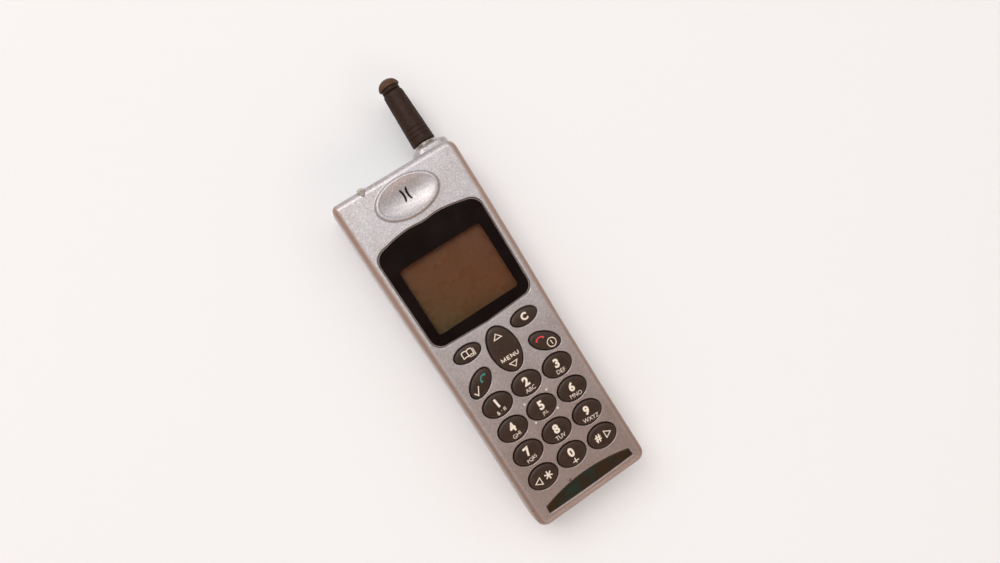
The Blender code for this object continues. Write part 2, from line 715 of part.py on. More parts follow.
def key_solid(name, centre, axes, tilt):
    """A domed cap on a stem, with a flange under the cover that keeps it in. The menu key rocks, so its
    flange lies lower."""
    stem = grown(axes, -KEY_SIDE_GAP)
    flange = grown(axes, KEY_FLANGE)
    rocks = name == "key_menu"
    flange_z = 22.5 * MM if rocks else 22.9 * MM
    crown = 1.6 * MM if axes[1] > 4.5 * MM else 1.3 * MM
    sections = [
        (flange, flange_z - 0.7 * MM), (flange, flange_z), (stem, flange_z), (stem, THICKNESS + 0.2 * MM),
        (grown(stem, -0.4 * MM), THICKNESS + 0.6 * MM), (grown(stem, -crown), THICKNESS + KEY_RISE),
    ]
    rings = [ring_at(ellipse(centre, size, tilt, KEY_ROUND), z) for size, z in sections]
    finish_object(name, loft(rings), key_rubber())


def keypad():
    for name, centre, axes, tilt in keys():
        key_solid(name, centre, axes, tilt)

    mat = finish_object(
        "keypad_mat", box((-20.9 * MM, 20.9 * MM), (-66.3 * MM, 4.6 * MM), (19.4 * MM, 19.9 * MM)),
        material("grey_rubber", (0.25, 0.25, 0.25), 0.7))
    cones = bmesh.new()
    for name, centre, axes, tilt in keys():
        base, head = grown(axes, -1.2 * MM), grown(axes, -2.1 * MM)
        cone_z = 21.1 * MM if name == "key_menu" else 21.4 * MM
        loft([ring_at(ellipse(centre, base, tilt, 8), 19.6 * MM),
              ring_at(ellipse(centre, head, tilt, 8), cone_z)], cones)
    join(mat, "key_cones", cones)

    foil = finish_object(
        "dome_switches", box((-20.9 * MM, 20.9 * MM), (-66.3 * MM, 4.6 * MM), (18.5 * MM, 18.65 * MM)), steel())
    domes = bmesh.new()
    for name, centre, _, _ in keys():
        places = [centre]
        if name == "key_menu":
            places = [(centre[0], centre[1] + 6 * MM), (centre[0], centre[1] - 6 * MM)]
        for place in places:
            profile = [(0, 18.55 * MM), (2.4 * MM, 18.55 * MM), (1.5 * MM, 18.95 * MM), (0, 19.1 * MM)]
            turned(profile, along_z(place), 8, domes)
    join(foil, "domes", domes)


def mouthpiece():
    finish_object(
        "mouthpiece_insert",
        prism(insert_outline(-0.1 * MM), INSERT_FACE_Z - INSERT_THICKNESS, INSERT_FACE_Z),
        material("smoked_insert", (0.02, 0.016, 0.012), 0.2))
    finish_object("microphone", cylinder_z(MICROPHONE, 2.8 * MM, 20.4 * MM, 22.6 * MM), steel())
    boot = finish_object("microphone_boot", cylinder_z(MICROPHONE, 3.6 * MM, 18.5 * MM, 22.9 * MM), black_plastic())
    cut(boot, "boot_pocket", cylinder_z(MICROPHONE, 3.0 * MM, 20.1 * MM, 24 * MM))


def earpiece_parts():
    centre = (0.0, EARPIECE_Y)
    profile = [(0, 18.5 * MM), (5.0 * MM, 18.5 * MM), (5.0 * MM, 20.0 * MM), (8.4 * MM, 20.0 * MM),
               (8.4 * MM, 21.4 * MM), (6.8 * MM, 21.7 * MM), (0, 21.4 * MM)]
    finish_object("earpiece_speaker", turned(profile, along_z(centre), ROUND), steel())
    ring = [(5.6 * MM, 22.0 * MM), (8.0 * MM, 22.0 * MM), (8.0 * MM, 22.5 * MM), (5.6 * MM, 22.5 * MM)]
    finish_object("earpiece_gasket", turned(ring, along_z(centre), ROUND),
                  material("grey_foam", (0.12, 0.12, 0.12), 0.9))


def status_light():
    clear = material("clear_plastic", (0.9, 0.88, 0.85), 0.1)
    body = finish_object("status_light_pipe", status_lens(0.0, 21.0 * MM), clear)
    join(body, "light_pipe_rod", light_pipe(0.0, 69.3 * MM))
    leg = cylinder_z((STATUS_LIGHT[0], 70.6 * MM), 1.1 * MM, 20.4 * MM, STATUS_LIGHT[1])
    join(body, "light_pipe_leg", leg)
    finish_object("status_led", box((STATUS_LIGHT[0] - MM, STATUS_LIGHT[0] + MM), (69.4 * MM, 71.8 * MM),
                                    (18.5 * MM, 19.9 * MM)), material("led_green", (0.2, 0.6, 0.25), 0.3))


# ---------------------------------------------------------------- antenna

def antenna():
    axis = along_y((ANTENNA_X, ANTENNA_Z))
    bore = 1.55 * MM
    flange_low, flange_high = FERRULE_FLANGE_Y
    neck_top = flange_high + 1.8 * MM
    ferrule = [
        (bore, 66.0 * MM), (3.7 * MM, 66.0 * MM), (3.7 * MM, flange_low), (4.6 * MM, flange_low),
        (4.6 * MM, flange_high), (2.8 * MM, flange_high), (2.8 * MM, neck_top), (bore, neck_top),
    ]
    finish_object("antenna_ferrule", turned(ferrule, axis), steel())
    finish_object("antenna_stub", turned(stub_profile(), axis), black_plastic())
    finish_object("antenna_coil", helix(2.25 * MM, 0.22 * MM, 87.0 * MM, 104.5 * MM, 7),
                  material("copper", (0.8, 0.42, 0.25), 0.35, 1.0))
    whip = [
        (0, WHIP_BOTTOM_Y), (1.4 * MM, WHIP_BOTTOM_Y), (1.4 * MM, WHIP_BOTTOM_Y + 2 * MM),
        (WHIP_RADIUS, WHIP_BOTTOM_Y + 2.4 * MM), (WHIP_RADIUS, WHIP_TOP_Y), (0, WHIP_TOP_Y),
    ]
    finish_object("antenna_whip", turned(whip, axis, SMALL_ROUND), steel())
    finish_object("antenna_cap", turned(cap_profile(), axis), black_plastic())
    tube = [(1.6 * MM, -14.0 * MM), (2.1 * MM, -14.0 * MM), (2.1 * MM, 65.6 * MM), (1.6 * MM, 65.6 * MM)]
    finish_object("antenna_guide_tube", turned(tube, axis, SMALL_ROUND),
                  material("natural_nylon", (0.75, 0.73, 0.66), 0.5))
    clip = [(66.0 * MM, 16.9 * MM), (66.0 * MM, 12.8 * MM), (71.5 * MM, 12.8 * MM), (71.5 * MM, 13.2 * MM),
            (66.4 * MM, 13.2 * MM), (66.4 * MM, 16.9 * MM)]
    finish_object("antenna_contact", side_profile(clip, (13.3 * MM, 15.5 * MM)), brass())


def stub_profile():
    """The sleeve over the coil: tapered, with three fine grooves near its base."""
    base_radius, top_radius = 5.3 * MM, 4.5 * MM
    groove_depth, groove_half = 0.22 * MM, 0.22 * MM
    length = STUB_TOP_Y - STUB_BASE_Y

    def radius(y):
        return base_radius + (top_radius - base_radius) * (y - STUB_BASE_Y) / length

    outside = [(5.0 * MM, STUB_BASE_Y), (radius(STUB_BASE_Y + 0.4 * MM), STUB_BASE_Y + 0.4 * MM)]
    for height in (3.1 * MM, 5.0 * MM, 6.9 * MM):
        y = STUB_BASE_Y + height
        outside += [(radius(y), y - groove_half), (radius(y) - groove_depth, y), (radius(y), y + groove_half)]
    outside += [(radius(STUB_TOP_Y), STUB_TOP_Y - 1.6 * MM), (4.0 * MM, STUB_TOP_Y)]
    inside = [(1.55 * MM, STUB_TOP_Y), (1.55 * MM, STUB_TOP_Y - 2.5 * MM), (3.0 * MM, STUB_TOP_Y - 3.0 * MM),
              (3.0 * MM, STUB_BASE_Y)]
    return outside + inside


def cap_profile():
    """The knob that pulls the whip out: a dome with an undercut neck and a blind bore for the rod."""
    neck, dome = 4.0 * MM, 4.7 * MM
    low = STUB_TOP_Y + GAP
    dome_y = low + 1.9 * MM
    bore = WHIP_TOP_Y + GAP
    profile = [(0, bore), (1.4 * MM, bore), (1.4 * MM, low), (neck, low), (neck + 0.2 * MM, dome_y - 0.2 * MM),
               (dome, dome_y)]
    rise = CAP_TOP_Y - dome_y
    for t in (20, 45, 68):
        angle = math.radians(t)
        profile.append((dome * math.cos(angle), dome_y + rise * math.sin(angle)))
    profile.append((0, CAP_TOP_Y))
    return profile


def helix(radius, wire, y_low, y_high, turns):
    """A wound wire: a small ring carried round and along the antenna's axis."""
    per_turn, sides = 8, 4
    steps = turns * per_turn
    rings = []
    for i in range(steps + 1):
        t = 2 * math.pi * i / per_turn
        y = y_low + (y_high - y_low) * i / steps
        ring = []
        for k in range(sides):
            a = 2 * math.pi * k / sides
            reach = radius + wire * math.cos(a)
            ring.append((ANTENNA_X + reach * math.cos(t), y + wire * math.sin(a), ANTENNA_Z + reach * math.sin(t)))
        rings.append(ring)
    return loft(rings)


# ---------------------------------------------------------------- electronics

def electronics():
    corner_y, end_y = -66.3 * MM, -74 * MM
    narrow = LOWER_SCREW["x"] - LOWER_SCREW["post"] - GAP
    outline = [(-narrow, end_y), (narrow, end_y), (narrow, corner_y), (BOARD_HALF_WIDTH, corner_y),
               (BOARD_HALF_WIDTH, 72 * MM), (-BOARD_HALF_WIDTH, 72 * MM), (-BOARD_HALF_WIDTH, corner_y),
               (-narrow, corner_y)]
    finish_object("main_board", prism(outline, *BOARD_Z), board_green())
    under = BOARD_Z[0] - GAP
    for name, x_range, y_range in (("shield_can_radio", (-20 * MM, 10 * MM), (26 * MM, 60 * MM)),
                                   ("shield_can_logic", (-20 * MM, 12 * MM), (-44 * MM, -2 * MM))):
        can = finish_object(name, box(x_range, y_range, (13.4 * MM, under)), steel())
        sheet = 0.3 * MM
        inside = box((x_range[0] + sheet, x_range[1] - sheet), (y_range[0] + sheet, y_range[1] - sheet),
                     (13.4 * MM + sheet, under + MM))
        cut(can, name + "_inside", inside)
    finish_object("backup_cell", cylinder_z((-10 * MM, -57 * MM), 6.2 * MM, 14.6 * MM, under, ROUND), steel())
    finish_object("ringer", cylinder_z((-11 * MM, 60 * MM), 7.0 * MM, 2.0 * MM, 6.5 * MM, ROUND), black_plastic())

    shell = finish_object("system_connector",
                          box((-9.0 * MM, 9.0 * MM), (Y_BOTTOM + 0.4 * MM, -69.6 * MM), (13.5 * MM, 16.8 * MM)),
                          black_plastic())
    cut(shell, "connector_mouth",
        box((-8.0 * MM, 8.0 * MM), (Y_BOTTOM - MM, -71.0 * MM), (14.2 * MM, 16.1 * MM)))
    pins = finish_object("connector_pins", box((-7.7 * MM, 7.7 * MM), (-72.4 * MM, -71.3 * MM),
                                               (14.5 * MM, 15.8 * MM)), brass())
    blades = bmesh.new()
    for i in range(8):
        x = (i - 3.5) * 1.9 * MM
        box((x - 0.4 * MM, x + 0.4 * MM), (-76.2 * MM, -72.0 * MM), (15.0 * MM, 15.5 * MM), blades)
    join(pins, "connector_blades", blades)

    carrier = finish_object("battery_contacts", box((-10.6 * MM, 10.6 * MM), (19.2 * MM, 20.6 * MM),
                                                    (12.0 * MM, under)), brass())
    springs = bmesh.new()
    for x in battery_contact_xs():
        path = [(20.1 * MM, 12.4 * MM), (19.7 * MM, 12.4 * MM), (19.7 * MM, 10.8 * MM), (18.4 * MM, 8.75 * MM),
                (16.9 * MM, 8.75 * MM), (15.7 * MM, 10.4 * MM), (15.4 * MM, 10.2 * MM), (16.7 * MM, 8.35 * MM),
                (18.6 * MM, 8.35 * MM), (20.1 * MM, 10.7 * MM)]
        side_profile(path, (x - 1.0 * MM, x + 1.0 * MM), springs)
    join(carrier, "contact_springs", springs)


def battery_contact_xs():
    return [k * MM for k in (-9.0, -5.4, 5.4, 9.0)]


def case_screws():
    for number, (place, row) in enumerate(screw_places(), 1):
        head_top = row["seat_z"] - 0.1 * MM
        profile = [(0, head_top - HEAD_HEIGHT), (HEAD_RADIUS, head_top - HEAD_HEIGHT), (HEAD_RADIUS, head_top),
                   (0.9 * MM, head_top), (0.9 * MM, 19.5 * MM), (0, 19.5 * MM)]
        finish_object("case_screw_%d" % number, turned(profile, along_z(place), SMALL_ROUND), steel())


# ---------------------------------------------------------------- battery pack, latch and card

def battery_pack():
    pack_end = BAY_END_Y - GAP
    case = finish_object("battery_case", loft(back_rings()), silver_paint())
    cut(case, "case_above", box((-40 * MM, 40 * MM), (-90 * MM, 90 * MM), (FLANK_Z - GAP, 30 * MM)))
    cut(case, "case_beyond", box((-40 * MM, 40 * MM), (pack_end, 90 * MM), (-MM, 30 * MM)))
    cut(case, "case_inside", box((-21.4 * MM, 21.4 * MM), (-72.6 * MM, pack_end - WALL), (1.3 * MM, 6 * MM)))
    grip = bmesh.new()
    for i in range(6):
        prism(stadium((0, (5 + 2.4 * i) * MM), 10 * MM, 0.6 * MM, 2), -0.6 * MM, 0.5 * MM, grip)
    cut(case, "thumb_grip", grip)

    lid = finish_object("battery_lid", loft(back_rings()), black_plastic())
    combine(lid, tool("lid_block", lid_section(RAIL_HALF_WIDTH - GAP, pack_end)), "INTERSECT")
    cut(lid, "lid_inside", box((-21.4 * MM, 21.4 * MM), (-72.6 * MM, pack_end - WALL), (4 * MM, 6.8 * MM)))
    pockets = box((-3.3 * MM, 3.3 * MM), (12.8 * MM, 17.6 * MM), (7.35 * MM, 9 * MM))
    for x in battery_contact_xs():
        box((x - 1.6 * MM, x + 1.6 * MM), (15.2 * MM, 20.0 * MM), (5 * MM, 9 * MM), pockets)
    cut(lid, "lid_pockets", pockets)

    wrap = material("cell_wrap", (0.1, 0.3, 0.45), 0.4)
    for name, y_range in (("battery_cell_lower", (-71.8 * MM, -31.5 * MM)),
                          ("battery_cell_upper", (-30.5 * MM, 10.6 * MM))):
        finish_object(name, box((-20.6 * MM, 20.6 * MM), y_range, (1.7 * MM, 6.4 * MM)), wrap)
    circuit = finish_object("battery_circuit", box((-11.0 * MM, 11.0 * MM), (11.2 * MM, 20.9 * MM),
                                                   (4.4 * MM, 5.4 * MM)), board_green())
    pads = bmesh.new()
    for x in battery_contact_xs():
        box((x - 1.3 * MM, x + 1.3 * MM), (15.5 * MM, 19.7 * MM), (5.2 * MM, 7.9 * MM), pads)
    join(circuit, "battery_pads", pads)


def lid_section(half, pack_end):
    """The lid's cross-section, a block with a tongue along each side, drawn out along the phone."""
    tongue = RAIL_GROOVE_DEPTH - GAP + 0.2 * MM
    low, high = FLANK_Z, BAY_FLOOR_Z - GAP
    tongue_low, tongue_high = RAIL_GROOVE_Z[0] + 0.25 * MM, RAIL_GROOVE_Z[1] - 0.25 * MM
    section = [
        (-half, low), (half, low), (half, tongue_low), (half + tongue, tongue_low), (half + tongue, tongue_high),
        (half, tongue_high), (half, high), (-half, high), (-half, tongue_high), (-half - tongue, tongue_high),
        (-half - tongue, tongue_low), (-half, tongue_low),
    ]
    return loft([[(x, y, z) for x, z in section] for y in (Y_BOTTOM + 0.4 * MM, pack_end)])


def battery_latch():
    """A thumb button in the back that lifts a leaf spring, whose tooth holds the pack."""
    button = loft([
        ring_at(stadium((0, LATCH_Y), 6.9 * MM, 3.4 * MM), 1.0 * MM),
        ring_at(stadium((0, LATCH_Y), 7.1 * MM, 3.6 * MM), 1.4 * MM),
        ring_at(stadium((0, LATCH_Y), 7.1 * MM, 3.6 * MM), 2.2 * MM),
    ])
    piece = finish_object("battery_latch_button", button, black_plastic())
    flange = prism(stadium((0, LATCH_Y), 8.2 * MM, 4.7 * MM), 2.0 * MM, 2.8 * MM)
    join(piece, "button_flange", flange)
    join(piece, "button_stem", cylinder_z((0, LATCH_Y), 1.6 * MM, 2.4 * MM, 10.0 * MM))
    leaf = [(54 * MM, 10.3 * MM), (54 * MM, 10.7 * MM), (16.0 * MM, 10.7 * MM), (13.8 * MM, 7.75 * MM),
            (15.2 * MM, 7.75 * MM), (17.2 * MM, 10.3 * MM)]
    finish_object("battery_latch_spring", side_profile(leaf[::-1], (-2.8 * MM, 2.8 * MM)), steel())


def sim_parts():
    y0, y1 = SIM_CENTRE_Y - 12.5 * MM, SIM_CENTRE_Y + 12.5 * MM
    chamfer = 3 * MM
    outline = [(-7.5 * MM, y0), (7.5 * MM, y0), (7.5 * MM, y1), (-7.5 * MM + chamfer, y1), (-7.5 * MM, y1 - chamfer)]
    finish_object("sim_card", prism(outline, 8.85 * MM, 9.6 * MM), material("card_white", (0.82, 0.82, 0.8), 0.4))
    finish_object("sim_holder", box((-7.9 * MM, 7.9 * MM), (-23 * MM, -9 * MM), (8.42 * MM, 8.68 * MM)), steel())


# ---------------------------------------------------------------- assembly

def clear_scene():
    for old in list(bpy.data.objects):
        bpy.data.objects.remove(old)


def main():
    clear_scene()
    front_cover()
    rear_cover()
    display_parts()
    keypad()
    mouthpiece()
    earpiece_parts()
    status_light()
    antenna()
    electronics()
    case_screws()
    battery_pack()
    battery_latch()
    sim_parts()


main()
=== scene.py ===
"""The looks of a mid-1990s mobile phone with a keypad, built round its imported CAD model.

The phone lies on its back: +Z points out of the display, +Y towards the antenna and +X to the right.
Shapes and patterns are in millimetres, and vertex() and Shader turn them into metres. The stage is in metres.
"""

import math

import bmesh
import bpy
from mathutils import Matrix, Vector


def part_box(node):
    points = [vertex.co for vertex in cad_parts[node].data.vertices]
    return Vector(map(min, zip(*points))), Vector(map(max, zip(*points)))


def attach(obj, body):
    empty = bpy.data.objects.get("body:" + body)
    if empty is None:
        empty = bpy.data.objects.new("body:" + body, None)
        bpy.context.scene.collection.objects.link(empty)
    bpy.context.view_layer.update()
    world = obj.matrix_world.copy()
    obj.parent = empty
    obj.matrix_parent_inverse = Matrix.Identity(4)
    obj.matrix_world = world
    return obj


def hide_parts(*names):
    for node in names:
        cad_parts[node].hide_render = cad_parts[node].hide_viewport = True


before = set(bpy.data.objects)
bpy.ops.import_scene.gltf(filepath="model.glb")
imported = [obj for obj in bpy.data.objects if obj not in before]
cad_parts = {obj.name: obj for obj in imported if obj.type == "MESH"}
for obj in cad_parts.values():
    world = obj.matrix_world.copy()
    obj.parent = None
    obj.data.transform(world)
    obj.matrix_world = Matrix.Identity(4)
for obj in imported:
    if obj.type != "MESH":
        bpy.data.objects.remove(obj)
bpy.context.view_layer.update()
MM = 0.001

# ---------------------------------------------------------------- dimensions, as in the CAD

FACE_Z = 25.0
Y_TOP = 78.6
Y_BOTTOM = -78.4
HALF_WIDTH_TOP = 29.3
HALF_WIDTH_BOTTOM = 27.3
SIDES = ((-40.0, 27.3), (-8.0, 27.7), (18.0, 28.5), (48.0, 29.1))
CORNER_TOP_LEFT = 3.0
CORNER_TOP_RIGHT = 5.0
CORNER_BOTTOM = 4.8
PARTING_Z = 13.0
GAP = 0.3
WALL = 1.6
FRONT_ROUNDING = 3.4
FRONT_DRAFT = 0.45
FRONT_INSIDE_Z = FACE_Z - 1.8
BACK_ROUNDING = 6.5
BACK_SHOULDER_Z = 9.0

BAY_END_Y = 23.2
BAY_FLOOR_Z = 8.5
FLOOR_INSIDE_Z = 9.9
FLANK_Z = 5.6
RAIL_HALF_WIDTH = 24.3
RAIL_GROOVE_DEPTH = 1.2
RAIL_GROOVE_Z = (6.2, 7.8)

EARPIECE_Y = 66.6
EARPIECE_BASE = (14.5, 8.7)
EARPIECE_CREST = (13.25, 7.85)
EARPIECE_LIP_Z = FACE_Z + 1.2
DISH_BOTTOM_Z = FACE_Z - 1.0

WINDOW_TOP_Y = 55.9
WINDOW_BOTTOM_Y = 5.9
WINDOW_HALF_TOP = 24.9
WINDOW_HALF_BOTTOM = 24.1
LCD_CENTRE_Y = 27.2
LCD_SIZE = (38.8, 30.8)

KEY_HOLE = (6.8, 5.05)
KEY_SIDE_GAP = 0.4
KEY_FLANGE = 0.35
KEY_TILT = math.radians(35)

PIPS = (5.5, 4.5)
PIPS_Y = -35.3

INSERT_CENTRE_X = 0.5
INSERT_HALF_WIDTH = 21.2
INSERT_TOP_Y = -67.9
INSERT_BOTTOM_Y = -74.3
MICROPHONE = (-8.5, -70.7)
SOUND_NOTCH = (-6.3, -67.6)

ANTENNA_X = 19.6
ANTENNA_Z = PARTING_Z
FERRULE_FLANGE_Y = (82.2, 83.3)
STUB_BASE_Y = 83.6
STUB_TOP_Y = 108.6

UPPER_SCREW = (24.9, 58.0, 6.0)
LOWER_SCREW = (20.5, -70.0, 10.4)
LATCH_Y = 31.0
STATUS_LIGHT = (-14.8, 22.2)

FINE = 64
MEDIUM = 40


PAST_X, PAST_Y, PAST_Z = 40, 90, 30  # beyond the phone, for tools that cut right through it
FERRULE_HOLE = ((ANTENNA_X, ANTENNA_Z), 4.1, Y_TOP - 9, Y_TOP + 4, FINE)
CONNECTOR_HALF = 9.4
CONNECTOR_TOP_Z = 17.0
SHARP = math.radians(30)


# ---------------------------------------------------------------- outlines

def ellipse(centre, semi_axes, angle=0.0, count=FINE):
    cos_a, sin_a = math.cos(angle), math.sin(angle)
    points = []
    for i in range(count):
        t = 2 * math.pi * i / count
        x, y = semi_axes[0] * math.cos(t), semi_axes[1] * math.sin(t)
        points.append((centre[0] + x * cos_a - y * sin_a, centre[1] + x * sin_a + y * cos_a))
    return points


def grown(semi_axes, margin):
    return (semi_axes[0] + margin, semi_axes[1] + margin)


def rectangle(x_range, y_range):
    (x0, x1), (y0, y1) = x_range, y_range
    return [(x0, y0), (x1, y0), (x1, y1), (x0, y1)]


def arc(centre, radius, start, end, steps):
    points = []
    for i in range(steps + 1):
        t = math.radians(start + (end - start) * i / steps)
        points.append((centre[0] + radius * math.cos(t), centre[1] + radius * math.sin(t)))
    return points


def rounded_rectangle(x_range, y_range, radius, steps=6):
    (x0, x1), (y0, y1) = x_range, y_range
    points = arc((x1 - radius, y0 + radius), radius, -90, 0, steps)
    points += arc((x1 - radius, y1 - radius), radius, 0, 90, steps)
    points += arc((x0 + radius, y1 - radius), radius, 90, 180, steps)
    points += arc((x0 + radius, y0 + radius), radius, 180, 270, steps)
    return points


def mirrored(right):
    """A symmetric outline from its right half."""
    return right + [(-x, y) for x, y in right[::-1]]


def stadium(centre, half_length, half_width, steps=8):
    reach = half_length - half_width
    points = arc((centre[0] + reach, centre[1]), half_width, -90, 90, 2 * steps)
    points += arc((centre[0] - reach, centre[1]), half_width, 90, 270, 2 * steps)
    return points


def half_width_at(y):
    points = ((Y_BOTTOM, HALF_WIDTH_BOTTOM),) + SIDES + ((Y_TOP, HALF_WIDTH_TOP),)
    for (y0, half0), (y1, half1) in zip(points, points[1:]):
        if y <= y1:
            return half0 + (half1 - half0) * (y - y0) / (y1 - y0)
    return HALF_WIDTH_TOP


def body_outline(side_inset, end_inset, steps=9):
    """The phone's outline from the front, drawn in by the insets."""
    sides = []
    for mirror, corner_top in ((1, CORNER_TOP_RIGHT), (-1, CORNER_TOP_LEFT)):
        points = []
        for sign, half_width, y_end, radius in ((-1, HALF_WIDTH_BOTTOM, Y_BOTTOM, CORNER_BOTTOM),
                                                (1, HALF_WIDTH_TOP, Y_TOP, corner_top)):
            drawn_in = max(radius - max(side_inset, end_inset), 0.9)
            centre = (half_width - side_inset - drawn_in, y_end - sign * (end_inset + drawn_in))
            start = -90 if sign < 0 else 0
            points += arc(centre, drawn_in, start, start + 90, steps)
            if sign < 0:
                points += [(half - side_inset, y) for y, half in SIDES]
        sides.append([(mirror * x, y) for x, y in points])
    return sides[0] + sides[1][::-1]


def window_outline(margin=0.0):
    """The display window: nearly straight sides, and an arched top that dips under the earpiece."""
    radius_top, radius_bottom = 5.6, 5.0
    shoulder_y = WINDOW_TOP_Y - 2.4
    right = WINDOW_HALF_BOTTOM + margin
    side = arc((right - radius_bottom, WINDOW_BOTTOM_Y + 0.9 - margin + radius_bottom),
               radius_bottom, -85, 0, 10)
    right = WINDOW_HALF_TOP + margin
    side += arc((right - radius_top, shoulder_y + margin - radius_top), radius_top, 0, 72, 10)
    top = []
    half, count = 16.0, 24
    for i in range(count + 1):
        x = half * (1 - 2 * i / count)
        crown = WINDOW_TOP_Y - 1.6 * (x / half) ** 2
        dip = 0.9 * math.exp(-((x / 5.0) ** 2))
        top.append((x, crown - dip + margin))
    left = [(-x, y) for x, y in side[::-1]]
    return side + top + left + [(0.0, WINDOW_BOTTOM_Y - margin)]


def insert_outline(margin=0.0):
    """The dark insert below the keys: an arched top edge and a nearly straight bottom edge."""
    half = INSERT_HALF_WIDTH + margin
    arch, sag, count = 2.9, 0.3, 20
    bottom, top = [], []
    for i in range(count + 1):
        x = half * (2 * i / count - 1)
        bottom.append((INSERT_CENTRE_X + x, INSERT_BOTTOM_Y - margin + sag * (x / half) ** 2))
        top.append((INSERT_CENTRE_X - x * 0.985, INSERT_TOP_Y + margin - arch * (x / half) ** 2))
    return bottom + top


# ---------------------------------------------------------------- solids

def vertex(bm, point):
    return bm.verts.new([value * MM for value in point])


def extent(node):
    """The lowest and highest corner of a CAD node."""
    return [[value / MM for value in corner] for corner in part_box(node)]


def ring_at(outline, z):
    return [(x, y, z) for x, y in outline]


def loft(rings, bm=None):
    """A closed solid through rings of equal length, with flat ends."""
    bm = bm or bmesh.new()
    rows = [[vertex(bm, point) for point in ring] for ring in rings]
    count = len(rows[0])
    for low, high in zip(rows, rows[1:]):
        for i in range(count):
            j = (i + 1) % count
            bm.faces.new((low[i], low[j], high[j], high[i]))
    bm.faces.new(rows[0][::-1])
    bm.faces.new(rows[-1])
    return bm


def prism(outline, z_low, z_high, bm=None):
    return loft([ring_at(outline, z_low), ring_at(outline, z_high)], bm)


def box(x_range, y_range, z_range, bm=None):
    return prism(rectangle(x_range, y_range), z_range[0], z_range[1], bm)


def slab(half_x, y_range, z_range, bm=None):
    return box((-half_x, half_x), y_range, z_range, bm)


def turned(profile, place, count=FINE, bm=None):
    """A turned solid from (radius, height) points. A profile off the axis is a closed loop round a bore."""
    bm = bm or bmesh.new()
    solid = profile[0][0] == 0
    rows = []
    for radius, height in profile:
        if radius == 0:
            rows.append([vertex(bm, place((0.0, 0.0, height)))])
            continue
        ring = ellipse((0, 0), (radius, radius), 0, count)
        rows.append([vertex(bm, place((x, y, height))) for x, y in ring])
    pairs = list(zip(rows, rows[1:]))
    if not solid:
        pairs.append((rows[-1], rows[0]))
    for low, high in pairs:
        for i in range(count):
            j = (i + 1) % count
            if len(low) == 1:
                bm.faces.new((low[0], high[j], high[i]))
            elif len(high) == 1:
                bm.faces.new((low[i], low[j], high[0]))
            else:
                bm.faces.new((low[i], low[j], high[j], high[i]))
    return bm


def along_z(centre):
    return lambda p: (centre[0] + p[0], centre[1] + p[1], p[2])


def along_y(centre_xz):
    return lambda p: (centre_xz[0] + p[0], p[2], centre_xz[1] - p[1])


def cylinder_z(centre, radius, z_low, z_high, count=MEDIUM, bm=None):
    return prism(ellipse(centre, (radius, radius), 0, count), z_low, z_high, bm)


def cylinder_y(centre_xz, radius, y_low, y_high, count=MEDIUM, bm=None):
    profile = [(0, y_low), (radius, y_low), (radius, y_high), (0, y_high)]
    return turned(profile, along_y(centre_xz), count, bm)


def flared(outline_at, deep_z, face_z, radius, bm=None, steps=4):
    """A cutter that leaves a rounded edge of that radius where it comes out of the face at face_z.
    It points up if deep_z is below the face, and down if it is above."""
    up = 1 if face_z > deep_z else -1
    rings = [ring_at(outline_at(0), deep_z)]
    for i in range(steps + 1):
        t = math.radians(90 * i / steps)
        rise = radius * math.sin(t) + (0.01 if i == steps else 0)
        rings.append(ring_at(outline_at(radius * (1 - math.cos(t))), face_z + up * (rise - radius)))
    rings.append(ring_at(outline_at(radius), face_z + up))
    return loft(rings, bm)


# ---------------------------------------------------------------- objects

def finish_object(name, bm, finish):
    bmesh.ops.recalc_face_normals(bm, faces=bm.faces)
    mesh = bpy.data.meshes.new(name)
    bm.to_mesh(mesh)
    bm.free()
    mesh.shade_smooth()
    mesh.set_sharp_from_angle(angle=SHARP)
    made = bpy.data.objects.new(name, mesh)
    bpy.context.scene.collection.objects.link(made)
    if finish:
        mesh.materials.append(finish)
    return made


def boolean(target, bm, operation):
    """Applies a Boolean with the bmesh's shape."""
    other = finish_object("boolean_tool", bm, None)
    change = target.modifiers.new("boolean", "BOOLEAN")
    change.operation = operation
    change.solver = "EXACT"
    change.use_self = True
    change.object = other
    depsgraph = bpy.context.evaluated_depsgraph_get()
    result = bpy.data.meshes.new_from_object(target.evaluated_get(depsgraph))
    target.modifiers.clear()
    old = target.data
    target.data = result
    bpy.data.meshes.remove(old)
    bpy.data.objects.remove(other)


def cut(target, *tools):
    for bm in tools:
        boolean(target, bm, "DIFFERENCE")


def join(target, *tools):
    for bm in tools:
        boolean(target, bm, "UNION")


def place(piece, body, slot, *nodes):
    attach(piece, body)
    if nodes:
        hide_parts(*nodes)


def settle(piece, body, slot, *nodes):
    """Smooth shading that keeps flat faces flat and real edges sharp, then the piece's place."""
    piece.data.shade_smooth()
    piece.data.set_sharp_from_angle(angle=SHARP)
    weights = piece.modifiers.new("weighted_normals", "WEIGHTED_NORMAL")
    weights.keep_sharp = True
    weights.mode = "FACE_AREA"
    place(piece, body, slot, *nodes)


# ---------------------------------------------------------------- materials

